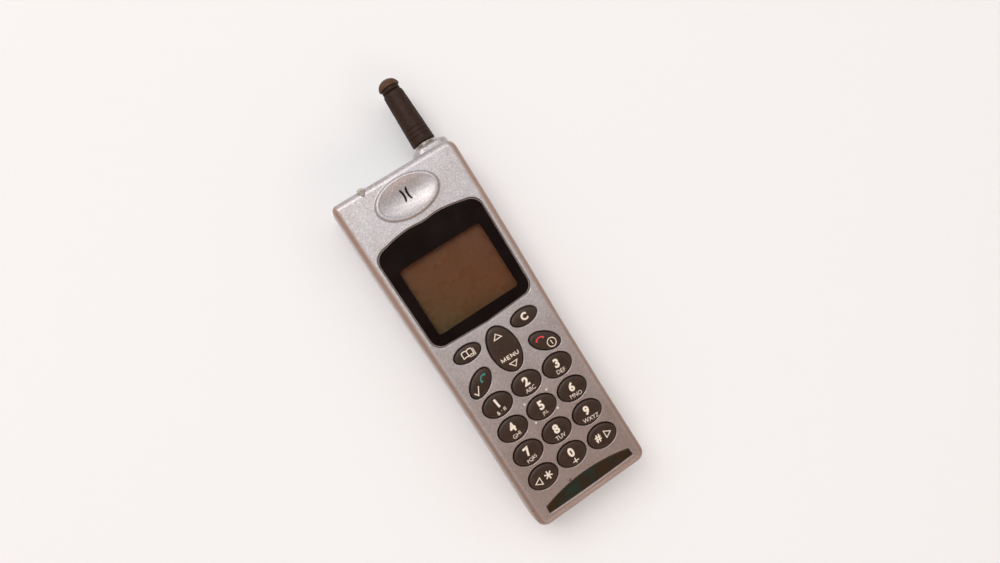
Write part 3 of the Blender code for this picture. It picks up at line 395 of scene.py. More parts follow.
class Nodes:
    """Short ways to add and wire the nodes of a tree."""

    def __init__(self, tree):
        self.tree = tree

    def node(self, kind, *sources, **values):
        """Adds a node. Sources feed its first inputs, and values are its settings or inputs by name."""
        made = self.tree.nodes.new(kind)
        for key, value in values.items():
            if hasattr(made, key):
                setattr(made, key, value)
            else:
                made.inputs[key.title()].default_value = value
        for target, source in zip(made.inputs, sources):
            self.feed(target, source)
        return made

    def link(self, source, target):
        self.tree.links.new(source, target)

    def feed(self, target, source):
        """Links a socket to an input, or sets the input to a number or a colour."""
        if isinstance(source, bpy.types.NodeSocket):
            self.link(source, target)
        else:
            target.default_value = (*source, 1.0) if isinstance(source, tuple) else source

    def remap(self, source, low, high, out_low=0.0, out_high=1.0, curve="LINEAR"):
        made = self.node("ShaderNodeMapRange", source, low, high, out_low, out_high, interpolation_type=curve)
        return made.outputs["Result"]

    def math(self, operation, *sources):
        return self.node("ShaderNodeMath", *sources, operation=operation).outputs[0]

    def mix(self, factor, first, second):
        made = self.node("ShaderNodeMix", factor, data_type="RGBA")
        self.feed(made.inputs[6], first)
        self.feed(made.inputs[7], second)
        return made.outputs[2]


class Shader(Nodes):
    """A Principled material with patterns in the object's coordinates."""

    def __init__(self, name):
        self.material = bpy.data.materials.new(name)
        self.material.use_nodes = True
        super().__init__(self.material.node_tree)
        self.base = self.tree.nodes["Principled BSDF"]
        self.coords = self.node("ShaderNodeTexCoord").outputs["Object"]

    def set(self, **values):
        for key, value in values.items():
            self.base.inputs[key.replace("_", " ").title().replace("Ior", "IOR")].default_value = value

    def noise(self, size, detail=2.0, roughness=0.5):
        """Noise whose features are about size across."""
        scale = 1.0 / (size * MM)
        made = self.node("ShaderNodeTexNoise", self.coords, scale=scale, detail=detail, roughness=roughness)
        return made.outputs["Fac"]

    def cells(self, size):
        """A colour of its own for each cell of that size."""
        return self.node("ShaderNodeTexVoronoi", self.coords, scale=1.0 / (size * MM)).outputs["Color"]

    def xyz(self):
        """The object's coordinates, as three sockets."""
        scaled = self.node("ShaderNodeVectorMath", self.coords, operation="SCALE", scale=1 / MM)
        return self.node("ShaderNodeSeparateXYZ", scaled.outputs[0]).outputs

    def stripes(self, position, pitch, low, high):
        """Lines across a position, along the crests of a sine wave."""
        wave = self.math("SINE", self.math("MULTIPLY", position, 2 * math.pi / pitch))
        return self.remap(wave, low, high)

    def ramp(self, source, stops):
        """A colour ramp from (position, colour) stops."""
        made = self.node("ShaderNodeValToRGB", source)
        elements, stops = made.color_ramp.elements, list(stops)
        while len(elements) < len(stops):
            elements.new(0.5)
        for element, (position, colour) in zip(elements, stops):
            element.position = position
            element.color = (*colour, 1.0)
        return made.outputs["Color"]

    def colour(self, source):
        self.link(source, self.base.inputs["Base Color"])

    def rough(self, source, low, high):
        self.link(self.remap(source, 0.25, 0.75, low, high), self.base.inputs["Roughness"])

    def bump(self, source, depth, after=None):
        """Raises the surface by depth where source is 1. after is a normal to build on."""
        made = self.node("ShaderNodeBump", strength=1.0, distance=depth * MM)
        self.link(source, made.inputs["Height"])
        if after:
            self.link(after, made.inputs["Normal"])
        self.link(made.outputs["Normal"], self.base.inputs["Normal"])
        return made.outputs["Normal"]


def silver_paint():
    """Metallic paint: fine flakes under a satin lacquer, worn in patches and chipped towards the sides. A
    painted warm reflection lies on the side slopes and the lower body, darker towards the bottom as painted
    shade.
    """
    s = Shader("silver_paint")
    flakes = s.node("ShaderNodeSeparateColor", s.cells(0.3))
    tone = s.math("ADD", s.math("MULTIPLY", flakes.outputs[0], 0.5),
                  s.math("MULTIPLY", s.noise(0.55, 3, 0.6), 0.5))
    paint, dull = (s.ramp(tone, zip((0.15, 0.65, 0.9), colours)) for colours in (
        ((0.39, 0.375, 0.39), (0.58, 0.56, 0.58), (0.88, 0.855, 0.875)),
        ((0.345, 0.315, 0.31), (0.52, 0.48, 0.475), (0.78, 0.73, 0.72))))
    rubbed = s.mix(s.remap(s.noise(14, 3), 0.35, 0.75), paint, dull)
    x, y, z = s.xyz()
    across = s.math("ABSOLUTE", x)
    # painted reflection: this mask lays a warm bronze on the upper side slopes and, growing towards the
    # bottom, on the lower body
    side = s.math("SUBTRACT", across, s.math("MULTIPLY", y, 0.0165))
    side = s.math("ADD", side, s.math("MULTIPLY", s.noise(9, 3), 0.8))
    warm = s.math("MULTIPLY", s.remap(side, 24.8, 26.6, 0.0, 0.85), s.remap(z, 20.5, 23.0))
    warm = s.math("MAXIMUM", warm, s.remap(y, 30, -50, 0.0, 0.6))
    # the bronze is darker towards the bottom: painted shade
    reflected_bronze = s.mix(s.remap(y, -40, 50), (0.31, 0.195, 0.14), (0.42, 0.265, 0.20))
    with_reflection = s.mix(warm, rubbed, reflected_bronze)
    outside = s.remap(across, 20, 29, 0.0, 0.07)
    chips = s.remap(s.math("ADD", s.noise(0.9, 2, 0.5), outside), 0.765, 0.785)
    s.colour(s.mix(chips, with_reflection, (0.075, 0.05, 0.04)))
    s.rough(s.noise(9, 4, 0.6), 0.42, 0.52)
    s.set(metallic=0.75, coat_weight=0.1, coat_roughness=0.2)
    s.bump(chips, -0.03, s.bump(flakes.outputs[1], 0.01))
    return s.material


def window_material():
    """A clear window with a black mask printed behind it: opaque outside the display's opening."""
    s = Shader("window")
    corner, blur = 1.5, 0.06
    squares = []
    for position, centre, size in zip(s.xyz(), (0.0, LCD_CENTRE_Y), LCD_SIZE):
        away = s.math("ABSOLUTE", s.math("SUBTRACT", position, centre))
        reach = s.math("MAXIMUM", s.math("SUBTRACT", away, size / 2 - corner), 0.0)
        squares.append(s.math("MULTIPLY", reach, reach))
    distance = s.math("SQRT", s.math("ADD", *squares))
    mask = s.remap(distance, corner - blur, corner + blur)
    smears = s.noise(11, 4, 0.65)
    s.colour(s.ramp(smears, ((0.35, (0.006, 0.0035, 0.003)), (0.75, (0.011, 0.007, 0.006)))))
    s.link(s.remap(mask, 0, 1, 0.16, 1.0), s.base.inputs["Alpha"])
    s.rough(smears, 0.05, 0.14)
    s.set(specular_ior_level=0.3, coat_weight=0.3, coat_roughness=0.04)
    s.bump(s.noise(22), 0.02)
    return s.material


def display_material():
    """The unlit liquid crystal display: brown, with a painted reflection that runs from olive at the lower
    left to reddish brown at the upper right, and a faint dot grid.
    """
    s = Shader("display")
    x, y, _ = s.xyz()
    across, along = s.remap(x, -19, 19), s.remap(y, LCD_CENTRE_Y - 15, LCD_CENTRE_Y + 15)
    # painted reflection: the tint shifts from olive at the lower left to reddish brown at the upper right
    reflection_position = s.math("ADD", s.math("MULTIPLY", across, 0.5), s.math("MULTIPLY", along, 0.5))
    stops = ((0.05, (0.17, 0.105, 0.042)), (0.5, (0.235, 0.092, 0.036)), (0.95, (0.24, 0.10, 0.045)))
    tint_with_reflection = s.ramp(reflection_position, stops)
    grid = s.math("MAXIMUM", *(s.stripes(position, 0.62, 0.55, 1.0) for position in (x, y)))
    s.colour(s.mix(s.math("MULTIPLY", grid, 0.16), tint_with_reflection, (0.03, 0.02, 0.012)))
    s.rough(s.noise(5), 0.22, 0.34)
    s.set(coat_weight=0.8, coat_roughness=0.05)
    s.bump(s.noise(3), 0.004)
    return s.material


def board_material():
    """Green solder mask over copper tracks that run in both directions."""
    s = Shader("circuit_board")
    along, across = (s.stripes(position, pitch, 0.75, 0.85) for position, pitch in zip(s.xyz(), (1.6, 2.3)))
    patch = s.remap(s.noise(9, 1), 0.5, 0.52)
    lines = s.math("ADD", s.math("MULTIPLY", along, patch),
                   s.math("MULTIPLY", across, s.math("SUBTRACT", 1.0, patch)))
    s.colour(s.mix(lines, (0.010, 0.085, 0.030), (0.035, 0.19, 0.07)))
    s.rough(s.noise(3), 0.25, 0.4)
    s.bump(lines, 0.03)
    return s.material


def patterned(name, stops, patches, shine, roughness, grain, depth, **settings):
    """Patches of colour, uneven roughness and a fine bump. patches, shine and grain say each noise's
    size, detail and roughness, and roughness and depth how far the last two go."""
    s = Shader(name)
    s.colour(s.ramp(s.noise(*patches), stops))
    s.rough(s.noise(*shine), *roughness)
    s.set(**settings)
    s.bump(s.noise(*grain), depth)
    return s.material


def key_material():
    """Dark brown moulded key tops with a satin, slightly worn skin."""
    stops = ((0.3, (0.026, 0.012, 0.006)), (0.7, (0.041, 0.020, 0.010)))
    return patterned("key_moulding", stops, (3, 3), (1.2, 4, 0.6), (0.36, 0.5), (0.25,), 0.006,
                     specular_ior_level=0.38)


def ink(name, pale, dark):
    """Printed ink, a little thin in places. The same pattern also makes the painted highlight round the
    window's rim.
    """
    return patterned(name, ((0.3, dark), (0.6, pale)), (0.5, 3, 0.6), (0.4,), (0.45, 0.6), (0.2,), 0.004)


def insert_material():
    """Smoked glossy plastic in patches from dark brown to dark green."""
    stops = ((0.3, (0.040, 0.020, 0.007)), (0.5, (0.030, 0.022, 0.013)), (0.7, (0.020, 0.034, 0.024)))
    return patterned("smoked_insert", stops, (7, 4, 0.6), (5, 3), (0.1, 0.24), (2,), 0.006,
                     coat_weight=0.6, coat_roughness=0.08)


def antenna_rubber(name, low, high):
    """Matt thermoplastic rubber, scuffed in patches."""
    return patterned(name, ((0.3, low), (0.75, high)), (2.2, 4, 0.65), (1.5, 3), (0.48, 0.66), (0.3, 3),
                     0.012, specular_ior_level=0.22)


def metal(name, low, high, roughness, grain=0.6, depth=0.004):
    """Plated or plain metal with a fine grain and slight tarnish."""
    return patterned(name, ((0.3, low), (0.7, high)), (4, 4, 0.6), (grain, 3),
                     (roughness * 0.8, roughness * 1.3), (grain,), depth, metallic=1.0)


def moulded(name, low, high, roughness=(0.4, 0.55), grain=0.35, depth=0.01):
    """Moulded plastic or rubber with a fine spark-eroded texture."""
    return patterned(name, ((0.3, low), (0.7, high)), (5, 4, 0.6), (2, 3), roughness, (grain,), depth)


def clear_plastic():
    stops = ((0.3, (0.78, 0.70, 0.62)), (0.7, (0.95, 0.90, 0.84)))
    return patterned("clear_plastic", stops, (1, 3), (0.8,), (0.04, 0.14), (0.6,), 0.004,
                     transmission_weight=0.7, ior=1.49)


SILVER = silver_paint()
# painted highlight: a pale line round the window's rounded rim
RIM_HIGHLIGHT = ink("window_rim_painted_highlight", (0.40, 0.33, 0.29), (0.16, 0.12, 0.10))
# painted highlight: pale dots in place of the light caught by the raised dots of the silver cover
DOT_HIGHLIGHT = moulded("dots_painted_highlight", (0.66, 0.62, 0.60), (0.80, 0.77, 0.75), (0.2, 0.3))
KEYS = key_material()
INK = ink("legend_ink", (0.86, 0.76, 0.64), (0.70, 0.60, 0.49))
RED_INK = ink("red_ink", (0.80, 0.035, 0.05), (0.62, 0.025, 0.04))
GREEN_INK = ink("green_ink", (0.03, 0.26, 0.22), (0.02, 0.19, 0.16))
WINDOW = window_material()
DISPLAY = display_material()
SMOKED = insert_material()
RUBBER_SLEEVE = antenna_rubber("antenna_sleeve", (0.022, 0.0085, 0.004), (0.036, 0.0155, 0.008))
RUBBER_KNOB = antenna_rubber("antenna_knob", (0.070, 0.034, 0.018), (0.115, 0.062, 0.034))
NICKEL = metal("nickel", (0.55, 0.50, 0.46), (0.74, 0.69, 0.64), 0.2)
STEEL = metal("steel", (0.50, 0.50, 0.49), (0.68, 0.67, 0.66), 0.3)
GOLD = metal("gold_plate", (0.72, 0.50, 0.17), (0.88, 0.66, 0.28), 0.25)
COPPER = metal("copper", (0.62, 0.27, 0.15), (0.80, 0.40, 0.24), 0.3)
TIN = metal("tinplate", (0.46, 0.47, 0.48), (0.62, 0.63, 0.64), 0.38, 1.4, 0.01)
BLACK = moulded("black_moulding", (0.016, 0.014, 0.013), (0.030, 0.026, 0.024))
WHITE = moulded("white_moulding", (0.62, 0.61, 0.57), (0.76, 0.75, 0.71))
GREY_RUBBER = moulded("grey_silicone", (0.16, 0.16, 0.16), (0.24, 0.24, 0.235), (0.55, 0.7))
FOAM = moulded("foam", (0.05, 0.05, 0.05), (0.1, 0.1, 0.1), (0.85, 0.95), 0.4, 0.12)
NYLON = moulded("nylon", (0.60, 0.57, 0.48), (0.72, 0.69, 0.6))
CELL_WRAP = moulded("cell_wrap", (0.03, 0.10, 0.20), (0.05, 0.15, 0.28), (0.25, 0.35))
CARD = moulded("card_plastic", (0.66, 0.66, 0.64), (0.78, 0.78, 0.76), (0.3, 0.42))
LED = moulded("led_body", (0.10, 0.42, 0.14), (0.16, 0.58, 0.2), (0.2, 0.3))
CLEAR = clear_plastic()
BOARD = board_material()


# ---------------------------------------------------------------- keys

def key_facts():
    """Each key's centre, hole semi-axes and tilt. Centres are those of the CAD keys."""
    facts = {}
    sizes = {"key_phonebook": (6.35, 3.6), "key_clear": (6.35, 3.6), "key_call": (6.9, 4.1),
             "key_end": (6.9, 4.1), "key_menu": (6.55, 10.4)}
    tilts = {"key_call": KEY_TILT, "key_end": -KEY_TILT}
    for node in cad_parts:
        if node.startswith("key_"):
            low, high = extent(node)
            centre = ((low[0] + high[0]) / 2, (low[1] + high[1]) / 2)
            facts[node] = (centre, sizes.get(node, KEY_HOLE), tilts.get(node, 0.0))
    return facts


KEY_FACTS = key_facts()
KEY_TOP_Z = FACE_Z + 0.85
KEY_CROWN = 0.34
KEY_EDGE_Z = FACE_Z + 0.12


def key_height(node, x, y):
    """The key top's height at a point: a shallow crown that rolls over near the edge."""
    centre, axes, tilt = KEY_FACTS[node]
    cos_a, sin_a = math.cos(tilt), math.sin(tilt)
    dx, dy = x - centre[0], y - centre[1]
    u = (dx * cos_a + dy * sin_a) / (axes[0] - KEY_SIDE_GAP)
    v = (-dx * sin_a + dy * cos_a) / (axes[1] - KEY_SIDE_GAP)
    return crown_height(min(math.hypot(u, v), 1.0))


def crown_height(share):
    crown = KEY_TOP_Z - KEY_CROWN * share * share
    start = 0.84
    if share <= start:
        return crown
    roll = (share - start) / (1 - start)
    edge = KEY_EDGE_Z
    return edge + (crown - edge) * math.sqrt(max(1 - roll * roll, 0.0))


def make_key(node):
    centre, axes, tilt = KEY_FACTS[node]
    low_z = extent(node)[0][2]
    stem = grown(axes, -KEY_SIDE_GAP)
    flange = grown(axes, KEY_FLANGE)
    flange_z = low_z + 0.7
    rings = [ring_at(ellipse(centre, size, tilt), z) for size, z in
             ((flange, low_z), (flange, flange_z), (stem, flange_z), (stem, KEY_EDGE_Z - 0.05))]
    for share in (1.0, 0.995, 0.98, 0.955, 0.92, 0.88, 0.84, 0.72, 0.55, 0.36, 0.18, 0.05):
        size = (stem[0] * share, stem[1] * share)
        rings.append(ring_at(ellipse(centre, size, tilt), crown_height(share)))
    piece = finish_object(node + "_cap", loft(rings), KEYS)
    settle(piece, node + "_body", "key_rubber", node)


# ---------------------------------------------------------------- legends

def stroke(bm, points, width, closed=False):
    """A flat line of even width with mitred corners."""
    count = len(points)
    left, right = [], []
    for i in range(count):
        before = Vector(points[(i - 1) % count]) if closed or i > 0 else None
        after = Vector(points[(i + 1) % count]) if closed or i < count - 1 else None
        here = Vector(points[i])
        first = (here - before).normalized() if before is not None else (after - here).normalized()
        second = (after - here).normalized() if after is not None else first
        normal = Vector((-first.y - second.y, first.x + second.x)).normalized()
        reach = width / 2 / max(normal.dot(Vector((-first.y, first.x))), 0.35)
        left.append(vertex(bm, (*(here + normal * reach), 0)))
        right.append(vertex(bm, (*(here - normal * reach), 0)))
    for i in range(count if closed else count - 1):
        j = (i + 1) % count
        bm.faces.new((right[i], right[j], left[j], left[i]))


def letters(bm, text, height, centre, bold=0.0, turn=0.0, squeeze=1.0):
    """Adds flat lettering of that height, centred on a point."""
    curve = bpy.data.curves.new("letters", "FONT")
    curve.body = text
    curve.size = 1.0
    curve.offset = bold
    curve.resolution_u = 4
    writer = bpy.data.objects.new("letters", curve)
    bpy.context.scene.collection.objects.link(writer)
    bpy.context.view_layer.update()
    mesh = bpy.data.meshes.new_from_object(writer.evaluated_get(bpy.context.evaluated_depsgraph_get()))
    xs = [v.co.x for v in mesh.vertices]
    ys = [v.co.y for v in mesh.vertices]
    scale = height * MM / (max(ys) - min(ys))
    middle = Matrix.Translation((-(max(xs) + min(xs)) / 2, -(max(ys) + min(ys)) / 2, 0))
    size = Matrix.Diagonal((scale * squeeze, scale, 1, 1))
    spin = Matrix.Rotation(math.radians(turn), 4, "Z")
    mesh.transform(Matrix.Translation((centre[0] * MM, centre[1] * MM, 0)) @ spin @ size @ middle)
    bm.from_mesh(mesh)
    bpy.data.objects.remove(writer)
    bpy.data.curves.remove(curve)
    bpy.data.meshes.remove(mesh)


def triangle(bm, centre, half_width, height, turn):
    """An outlined triangle that points up if turn is 0, and left if it is 90 degrees."""
    cos_a, sin_a = math.cos(math.radians(turn)), math.sin(math.radians(turn))
    corners = ((-half_width, -height / 2), (half_width, -height / 2), (0, height / 2))
    points = [(centre[0] + x * cos_a - y * sin_a, centre[1] + x * sin_a + y * cos_a) for x, y in corners]
    stroke(bm, points, 0.36, closed=True)


def handset_icon(bm, crest, radius, half_angle, turn):
    """A curved receiver: an arc with a thicker block at each end. Its crest points up if turn is 0."""
    count, half_thick = 14, 0.24
    up = math.radians(90 + turn)
    middle = (crest[0] - radius * math.cos(up), crest[1] - radius * math.sin(up))
    rows = []
    for i in range(count + 1):
        v = 2 * i / count - 1
        angle = up + math.radians(half_angle) * v
        block = 0.42 * min(max(0.0, abs(v) - 0.62) / 0.12, 1.0)
        rows.append([vertex(bm, (middle[0] + reach * math.cos(angle), middle[1] + reach * math.sin(angle), 0))
                     for reach in (radius + half_thick, radius - half_thick - block)])
    for here, after in zip(rows, rows[1:]):
        bm.faces.new((here[0], after[0], after[1], here[1]))


def book_icon(bm):
    """An open book in outline, its pages bowed, with a second leaf under the right page."""
    width, half, high, low, bow = 0.4, 2.35, 1.15, -1.35, 0.35
    for side in (-1, 1):
        for level in (high, low):
            page = [(side * half * i / 5, level + bow * math.sin(math.pi * i / 5)) for i in range(6)]
            stroke(bm, page, width)
        stroke(bm, [(side * half, high), (side * half, low)], width)
    stroke(bm, [(0, high), (0, low)], width)
    leaf_x, leaf_y = half + 0.6, low - 0.5
    stroke(bm, [(leaf_x, high - 0.3), (leaf_x, leaf_y), (0.3, leaf_y)], 0.3)


def menu_word(bm, x, y, height):
    """The word MENU in even strokes, from its left edge and its middle height."""
    width, corner = 0.36, 0.35
    low, high = y - (height - width) / 2, y + (height - width) / 2
    stroke(bm, [(x, low), (x + 0.1, high), (x + 0.9, low + 0.2), (x + 1.7, high), (x + 1.8, low)], width)
    x += 2.65
    stroke(bm, [(x + 1.1, high), (x, high), (x, low), (x + 1.1, low)], width)
    stroke(bm, [(x, y), (x + 0.95, y)], width)
    x += 1.85
    stroke(bm, [(x, low), (x, high), (x + 1.4, low), (x + 1.4, high)], width)
    x += 2.15
    stroke(bm, [(x, high), (x, low + corner), (x + corner, low), (x + 1.3 - corner, low),
                (x + 1.3, low + corner), (x + 1.3, high)], width)


def legend(node, part, finish, *marks):
    """Prints marks, each a function and its values, round the key's centre as a thin layer of ink."""
    bm = bmesh.new()
    for draw, *values in marks:
        draw(bm, *values)
    centre = KEY_FACTS[node][0]
    bmesh.ops.translate(bm, vec=(centre[0] * MM, centre[1] * MM, 0), verts=bm.verts)
    step = 0.7 * MM
    for axis in (0, 1):
        places = [v.co[axis] for v in bm.verts]
        position, normal = min(places) + step, (1 - axis, axis, 0)
        while position < max(places):
            bmesh.ops.bisect_plane(bm, geom=bm.verts[:] + bm.edges[:] + bm.faces[:], plane_no=normal,
                                   plane_co=[position * value for value in normal])
            position += step
    raised = bmesh.ops.extrude_face_region(bm, geom=bm.faces[:])["geom"]
    upper = {v for v in raised if isinstance(v, bmesh.types.BMVert)}
    for v in bm.verts:
        lift = 0.03 if v in upper else -0.04
        v.co.z = (key_height(node, v.co.x / MM, v.co.y / MM) + lift) * MM
    place(finish_object(f"{node}_{part}", bm, finish), node + "_body", "key_rubber")


def legends():
    rows = (
        ("1", "& · #", 8), ("2", "ABC", 0), ("3", "DEF", -6), ("4", "GHI", 8), ("5", "JKL", 0),
        ("6", "MNO", -6), ("7", "PQRS", 8), ("8", "TUV", 0), ("9", "WXYZ", -6),
    )
    for digit, under, turn in rows:
        legend("key_" + digit, "legend", INK, (letters, digit, 3.9, (0, 0.85), 0.045, turn),
               (letters, under, 1.75, (0.05, -2.85), 0.0, turn, 0.95))
    legend("key_0", "legend", INK, (letters, "0", 3.9, (0, 0.95), 0.045),
           (stroke, [(-1.4, -3.1), (1.4, -3.1)], 0.42), (stroke, [(0, -1.75), (0, -4.45)], 0.42))
    star = [(triangle, (-3.1, -0.85), 1.55, 2.7, 90)]
    for k in range(3):
        angle = math.radians(96 + 60 * k)
        dx, dy = 1.8 * math.cos(angle), 1.8 * math.sin(angle)
        star.append((stroke, [(2.0 - dx, -0.45 - dy), (2.0 + dx, -0.45 + dy)], 0.55))
    legend("key_star", "legend", INK, *star)
    legend("key_hash", "legend", INK, (letters, "#", 3.3, (-2.05, 0), 0.03),
           (triangle, (2.6, -0.2), 1.55, 2.7, 270))
    legend("key_clear", "legend", INK, (letters, "C", 3.3, (0, 0), 0.05))
    legend("key_menu", "legend", INK, (triangle, (-0.15, 6.1), 1.75, 2.1, 0), (menu_word, -3.9, -3.85, 1.75),
           (triangle, (0.1, -7.4), 1.8, 2.1, 180))
    legend("key_phonebook", "legend", INK, (book_icon,))
    legend("key_call", "tick", INK, (stroke, [(-4.45, -2.2), (-3.3, -3.7), (-1.4, -0.4)], 0.45))
    legend("key_call", "receiver", GREEN_INK, (handset_icon, (1.36, 1.97), 2.17, 63, 41))
    legend("key_end", "power", INK, (stroke, arc((2.07, -2.05), 1.9, 0, 345, 23), 0.36, True),
           (stroke, [(2.0, -1.05), (2.14, -3.05)], 0.36))
    legend("key_end", "receiver", RED_INK, (handset_icon, (-1.65, 2.38), 2.67, 50, 3))


# ---------------------------------------------------------------- front cover

def front_rings(wall=0.0):
    """The front cover's outside, or the room inside it if wall is its thickness."""
    if wall:
        top_z, height = FRONT_INSIDE_Z, FRONT_ROUNDING - 0.8
        rings = [ring_at(body_outline(wall, wall), PARTING_Z - 1)]
    else:
        top_z, height = FACE_Z, FRONT_ROUNDING
        rings = [ring_at(body_outline(side, end), PARTING_Z + GAP + rise)
                 for side, end, rise in ((0.25, 0.25, 0), (0.05, 0.05, 0.18), (0.01, 0, 0.45))]
    steps = 9
    for i in range(steps + 1):
        t = math.radians(90 * i / steps)
        inset = (FRONT_ROUNDING - 0.25) * (1 - math.cos(t))
        z = top_z - height + height * math.sin(t)
        rings.append(ring_at(body_outline(wall + FRONT_DRAFT + inset, wall + inset), z))
    return rings


def antenna_shoulder():
    """The raised block round the antenna, which flares out of the top end and runs to its corner."""
    sections = (
        (2.4, -4.2), (1.9, -1.6), (1.3, -0.4), (0.8, 0.2), (0.45, 0.7), (0.2, 1.2), (0.05, 1.6),
        (-0.05, 1.8), (-0.3, 2.2), (-0.7, 2.55), (-1.2, 2.82), (-1.8, 3.05), (-2.5, 3.25),
    )
    half_x, half_z, radius = 8.1, 7.4, 5.0
    middle_x = ANTENNA_X + 0.6
    rings = []
    for spread, above in sections:
        grow = spread
        shrink = min(grow, 0)
        corners = (
            (half_x + shrink, -half_z - shrink, -90), (half_x + shrink, half_z + shrink, 0),
            (-half_x - grow, half_z + shrink, 90), (-half_x - grow, -half_z - shrink, 180),
        )
        ring = []
        for x, z, start in corners:
            centre = (x - math.copysign(radius + shrink, x), z - math.copysign(radius + shrink, z))
            ring += arc(centre, radius + shrink, start, start + 90, 9)
        rings.append([(middle_x + x, Y_TOP + above, ANTENNA_Z + z) for x, z in ring])
    return loft(rings)


def earpiece_boss():
    """The raised oval: a small fillet at its foot, a steep outside and a rounded shoulder."""
    foot, crest = EARPIECE_BASE, EARPIECE_CREST
    sections = (
        (-0.45, -0.9), (-0.45, 0.005), (-0.2, 0.05), (-0.04, 0.16), (0.12, 0.40), (0.26, 0.68), (0.42, 0.90),
        (0.62, 1.06), (0.82, 1.16), (1.0, 1.2),
    )
    rings = []
    for share, height in sections:
        size = tuple(a + (b - a) * share for a, b in zip(foot, crest))
        rings.append(ring_at(ellipse((0, EARPIECE_Y), size), FACE_Z + height))
    return loft(rings)


def earpiece_dish():
    """The hollow inside the lip, with a rounded inner edge."""
    rings = []
    centre = (0, EARPIECE_Y)
    rim = (12.5, 7.15)
    depth = EARPIECE_LIP_Z - 0.3 - DISH_BOTTOM_Z
    for i in range(1, 15):
        share = i / 14
        size = (rim[0] * share, rim[1] * share)
        rings.append(ring_at(ellipse(centre, size), DISH_BOTTOM_Z + depth * share ** 2.1))
    for margin, below in ((0.12, 0.19), (0.26, 0.08), (0.42, 0.01), (0.48, -0.02), (0.48, -1.0)):
        rings.append(ring_at(ellipse(centre, grown(rim, margin)), EARPIECE_LIP_Z - below))
    return loft(rings)


def earpiece_slots():
    """Two slots that bow away from each other, with blunt ends."""
    half_width, half_length, middle_x, bow, above, count = 0.47, 2.8, 0.85, 0.65, 1.0, 12
    bm = bmesh.new()
    for side in (-1, 1):
        outline = []
        for edge, order in ((1, range(count + 1)), (-1, range(count, -1, -1))):
            for i in order:
                v = 2 * i / count - 1
                half = half_width * math.sqrt(max(1 - abs(v) ** 8, 0.15))
                outline.append((side * (middle_x + bow * v * v) + edge * half,
                                EARPIECE_Y + above + v * half_length))
        prism(outline[::-1], DISH_BOTTOM_Z - 3, FACE_Z + 2, bm)
    return bm


def lens_top(y):
    """The height of the lens, a little proud of the cover's rounded end."""
    last_y, proud = 78.0, 0.14
    reach = FRONT_ROUNDING - 0.25
    cosine = min(1 - (Y_TOP - min(y, last_y)) / reach, 1.0)
    height = FACE_Z - FRONT_ROUNDING * (1 - math.sqrt(1 - max(cosine, 0.0) ** 2))
    return height + proud - 0.3 * max(y - last_y, 0.0)


def status_lens(margin, z_low, z_high=None):
    """A teardrop lens that wraps over the top edge, or a straight cutter for it if z_high is given."""
    radius, tip_y, round_y = 1.65, 75.3, 77.95
    middle = (STATUS_LIGHT[0], round_y)
    outline = []
    curve = arc(middle, radius + margin, -38, 218, 26)
    tip = (STATUS_LIGHT[0], tip_y - 1.5 * margin)
    for start, end in ((curve[-1], tip), (tip, curve[0])):
        for i in range(5):
            outline.append(tuple(a + (b - a) * i / 5 for a, b in zip(start, end)))
    outline += curve[:-1]
    if z_high:
        return prism(outline, z_low, z_high)
    rings = [ring_at(outline, z_low)]
    shares = ((1.0, 0.5), (0.985, 0.32), (0.95, 0.17), (0.9, 0.07), (0.82, 0.01), (0.6, 0), (0.3, 0))
    for share, drop in shares:
        ring = []
        for point in outline:
            x, y = (m + (p - m) * share for p, m in zip(point, middle))
            ring.append((x, y, lens_top(y) - drop))
        rings.append(ring)
    return loft(rings)


def light_pipe(margin, y_inner):
    return cylinder_y(STATUS_LIGHT, 1.2 + margin, y_inner, 78.0)


def screws():
    """Centre and seat height of each screw, in the CAD's order."""
    return [((side * x, y), seat) for x, y, seat in (UPPER_SCREW, LOWER_SCREW) for side in (-1, 1)]


def front_cover():
    cover = finish_object("front_shell", loft(front_rings()), SILVER)
    join(cover, antenna_shoulder(), earpiece_boss())
    cut(cover, loft(front_rings(WALL)), earpiece_dish())
    inside = prism(window_outline(0.9), 22.3, FRONT_INSIDE_Z + 0.2)
    for centre, _ in screws():
        cylinder_z(centre, 2.3, PARTING_Z + GAP, FRONT_INSIDE_Z + 0.3, 24, inside)
    join(cover, inside)
    pockets = flared(window_outline, 23.35, FACE_Z, 0.4)
    flared(insert_outline, 23.55, FACE_Z, 0.5, pockets)
    half_y = LCD_SIZE[1] / 2 + 1
    openings = slab(LCD_SIZE[0] / 2 + 1, (LCD_CENTRE_Y - half_y, LCD_CENTRE_Y + half_y), (21, 24))
    for centre, _ in screws():
        cylinder_z(centre, 1.1, PARTING_Z - 1, 20, 16, openings)
    cylinder_z(MICROPHONE, 0.6, 22, 24, 20, openings)
    prism(ellipse(SOUND_NOTCH, (0.6, 0.85), 0, 24), 23.55, FACE_Z + 1, openings)
    cylinder_y(*FERRULE_HOLE, openings)
    mouth = rounded_rectangle((-CONNECTOR_HALF, CONNECTOR_HALF), (Y_BOTTOM - 1, Y_BOTTOM + 4), 0.2, 2)
    prism(mouth, PARTING_Z - 1, CONNECTOR_TOP_Z, openings)
    cut(cover, pockets, openings, status_lens(0.15, 20.7, FACE_Z + 1), light_pipe(0.15, 69))
    holes = bmesh.new()
    for centre, axes, tilt in KEY_FACTS.values():
        flared(lambda margin: ellipse(centre, grown(axes, margin), tilt), FRONT_INSIDE_Z - 1, FACE_Z, 0.45,
               holes)
    below = slab(PAST_X, (-PAST_Y, PAST_Y), (0, PARTING_Z + GAP))
    cut(cover, holes, earpiece_slots(), below)
    settle(cover, "handset", "silver_paint", "front_cover")


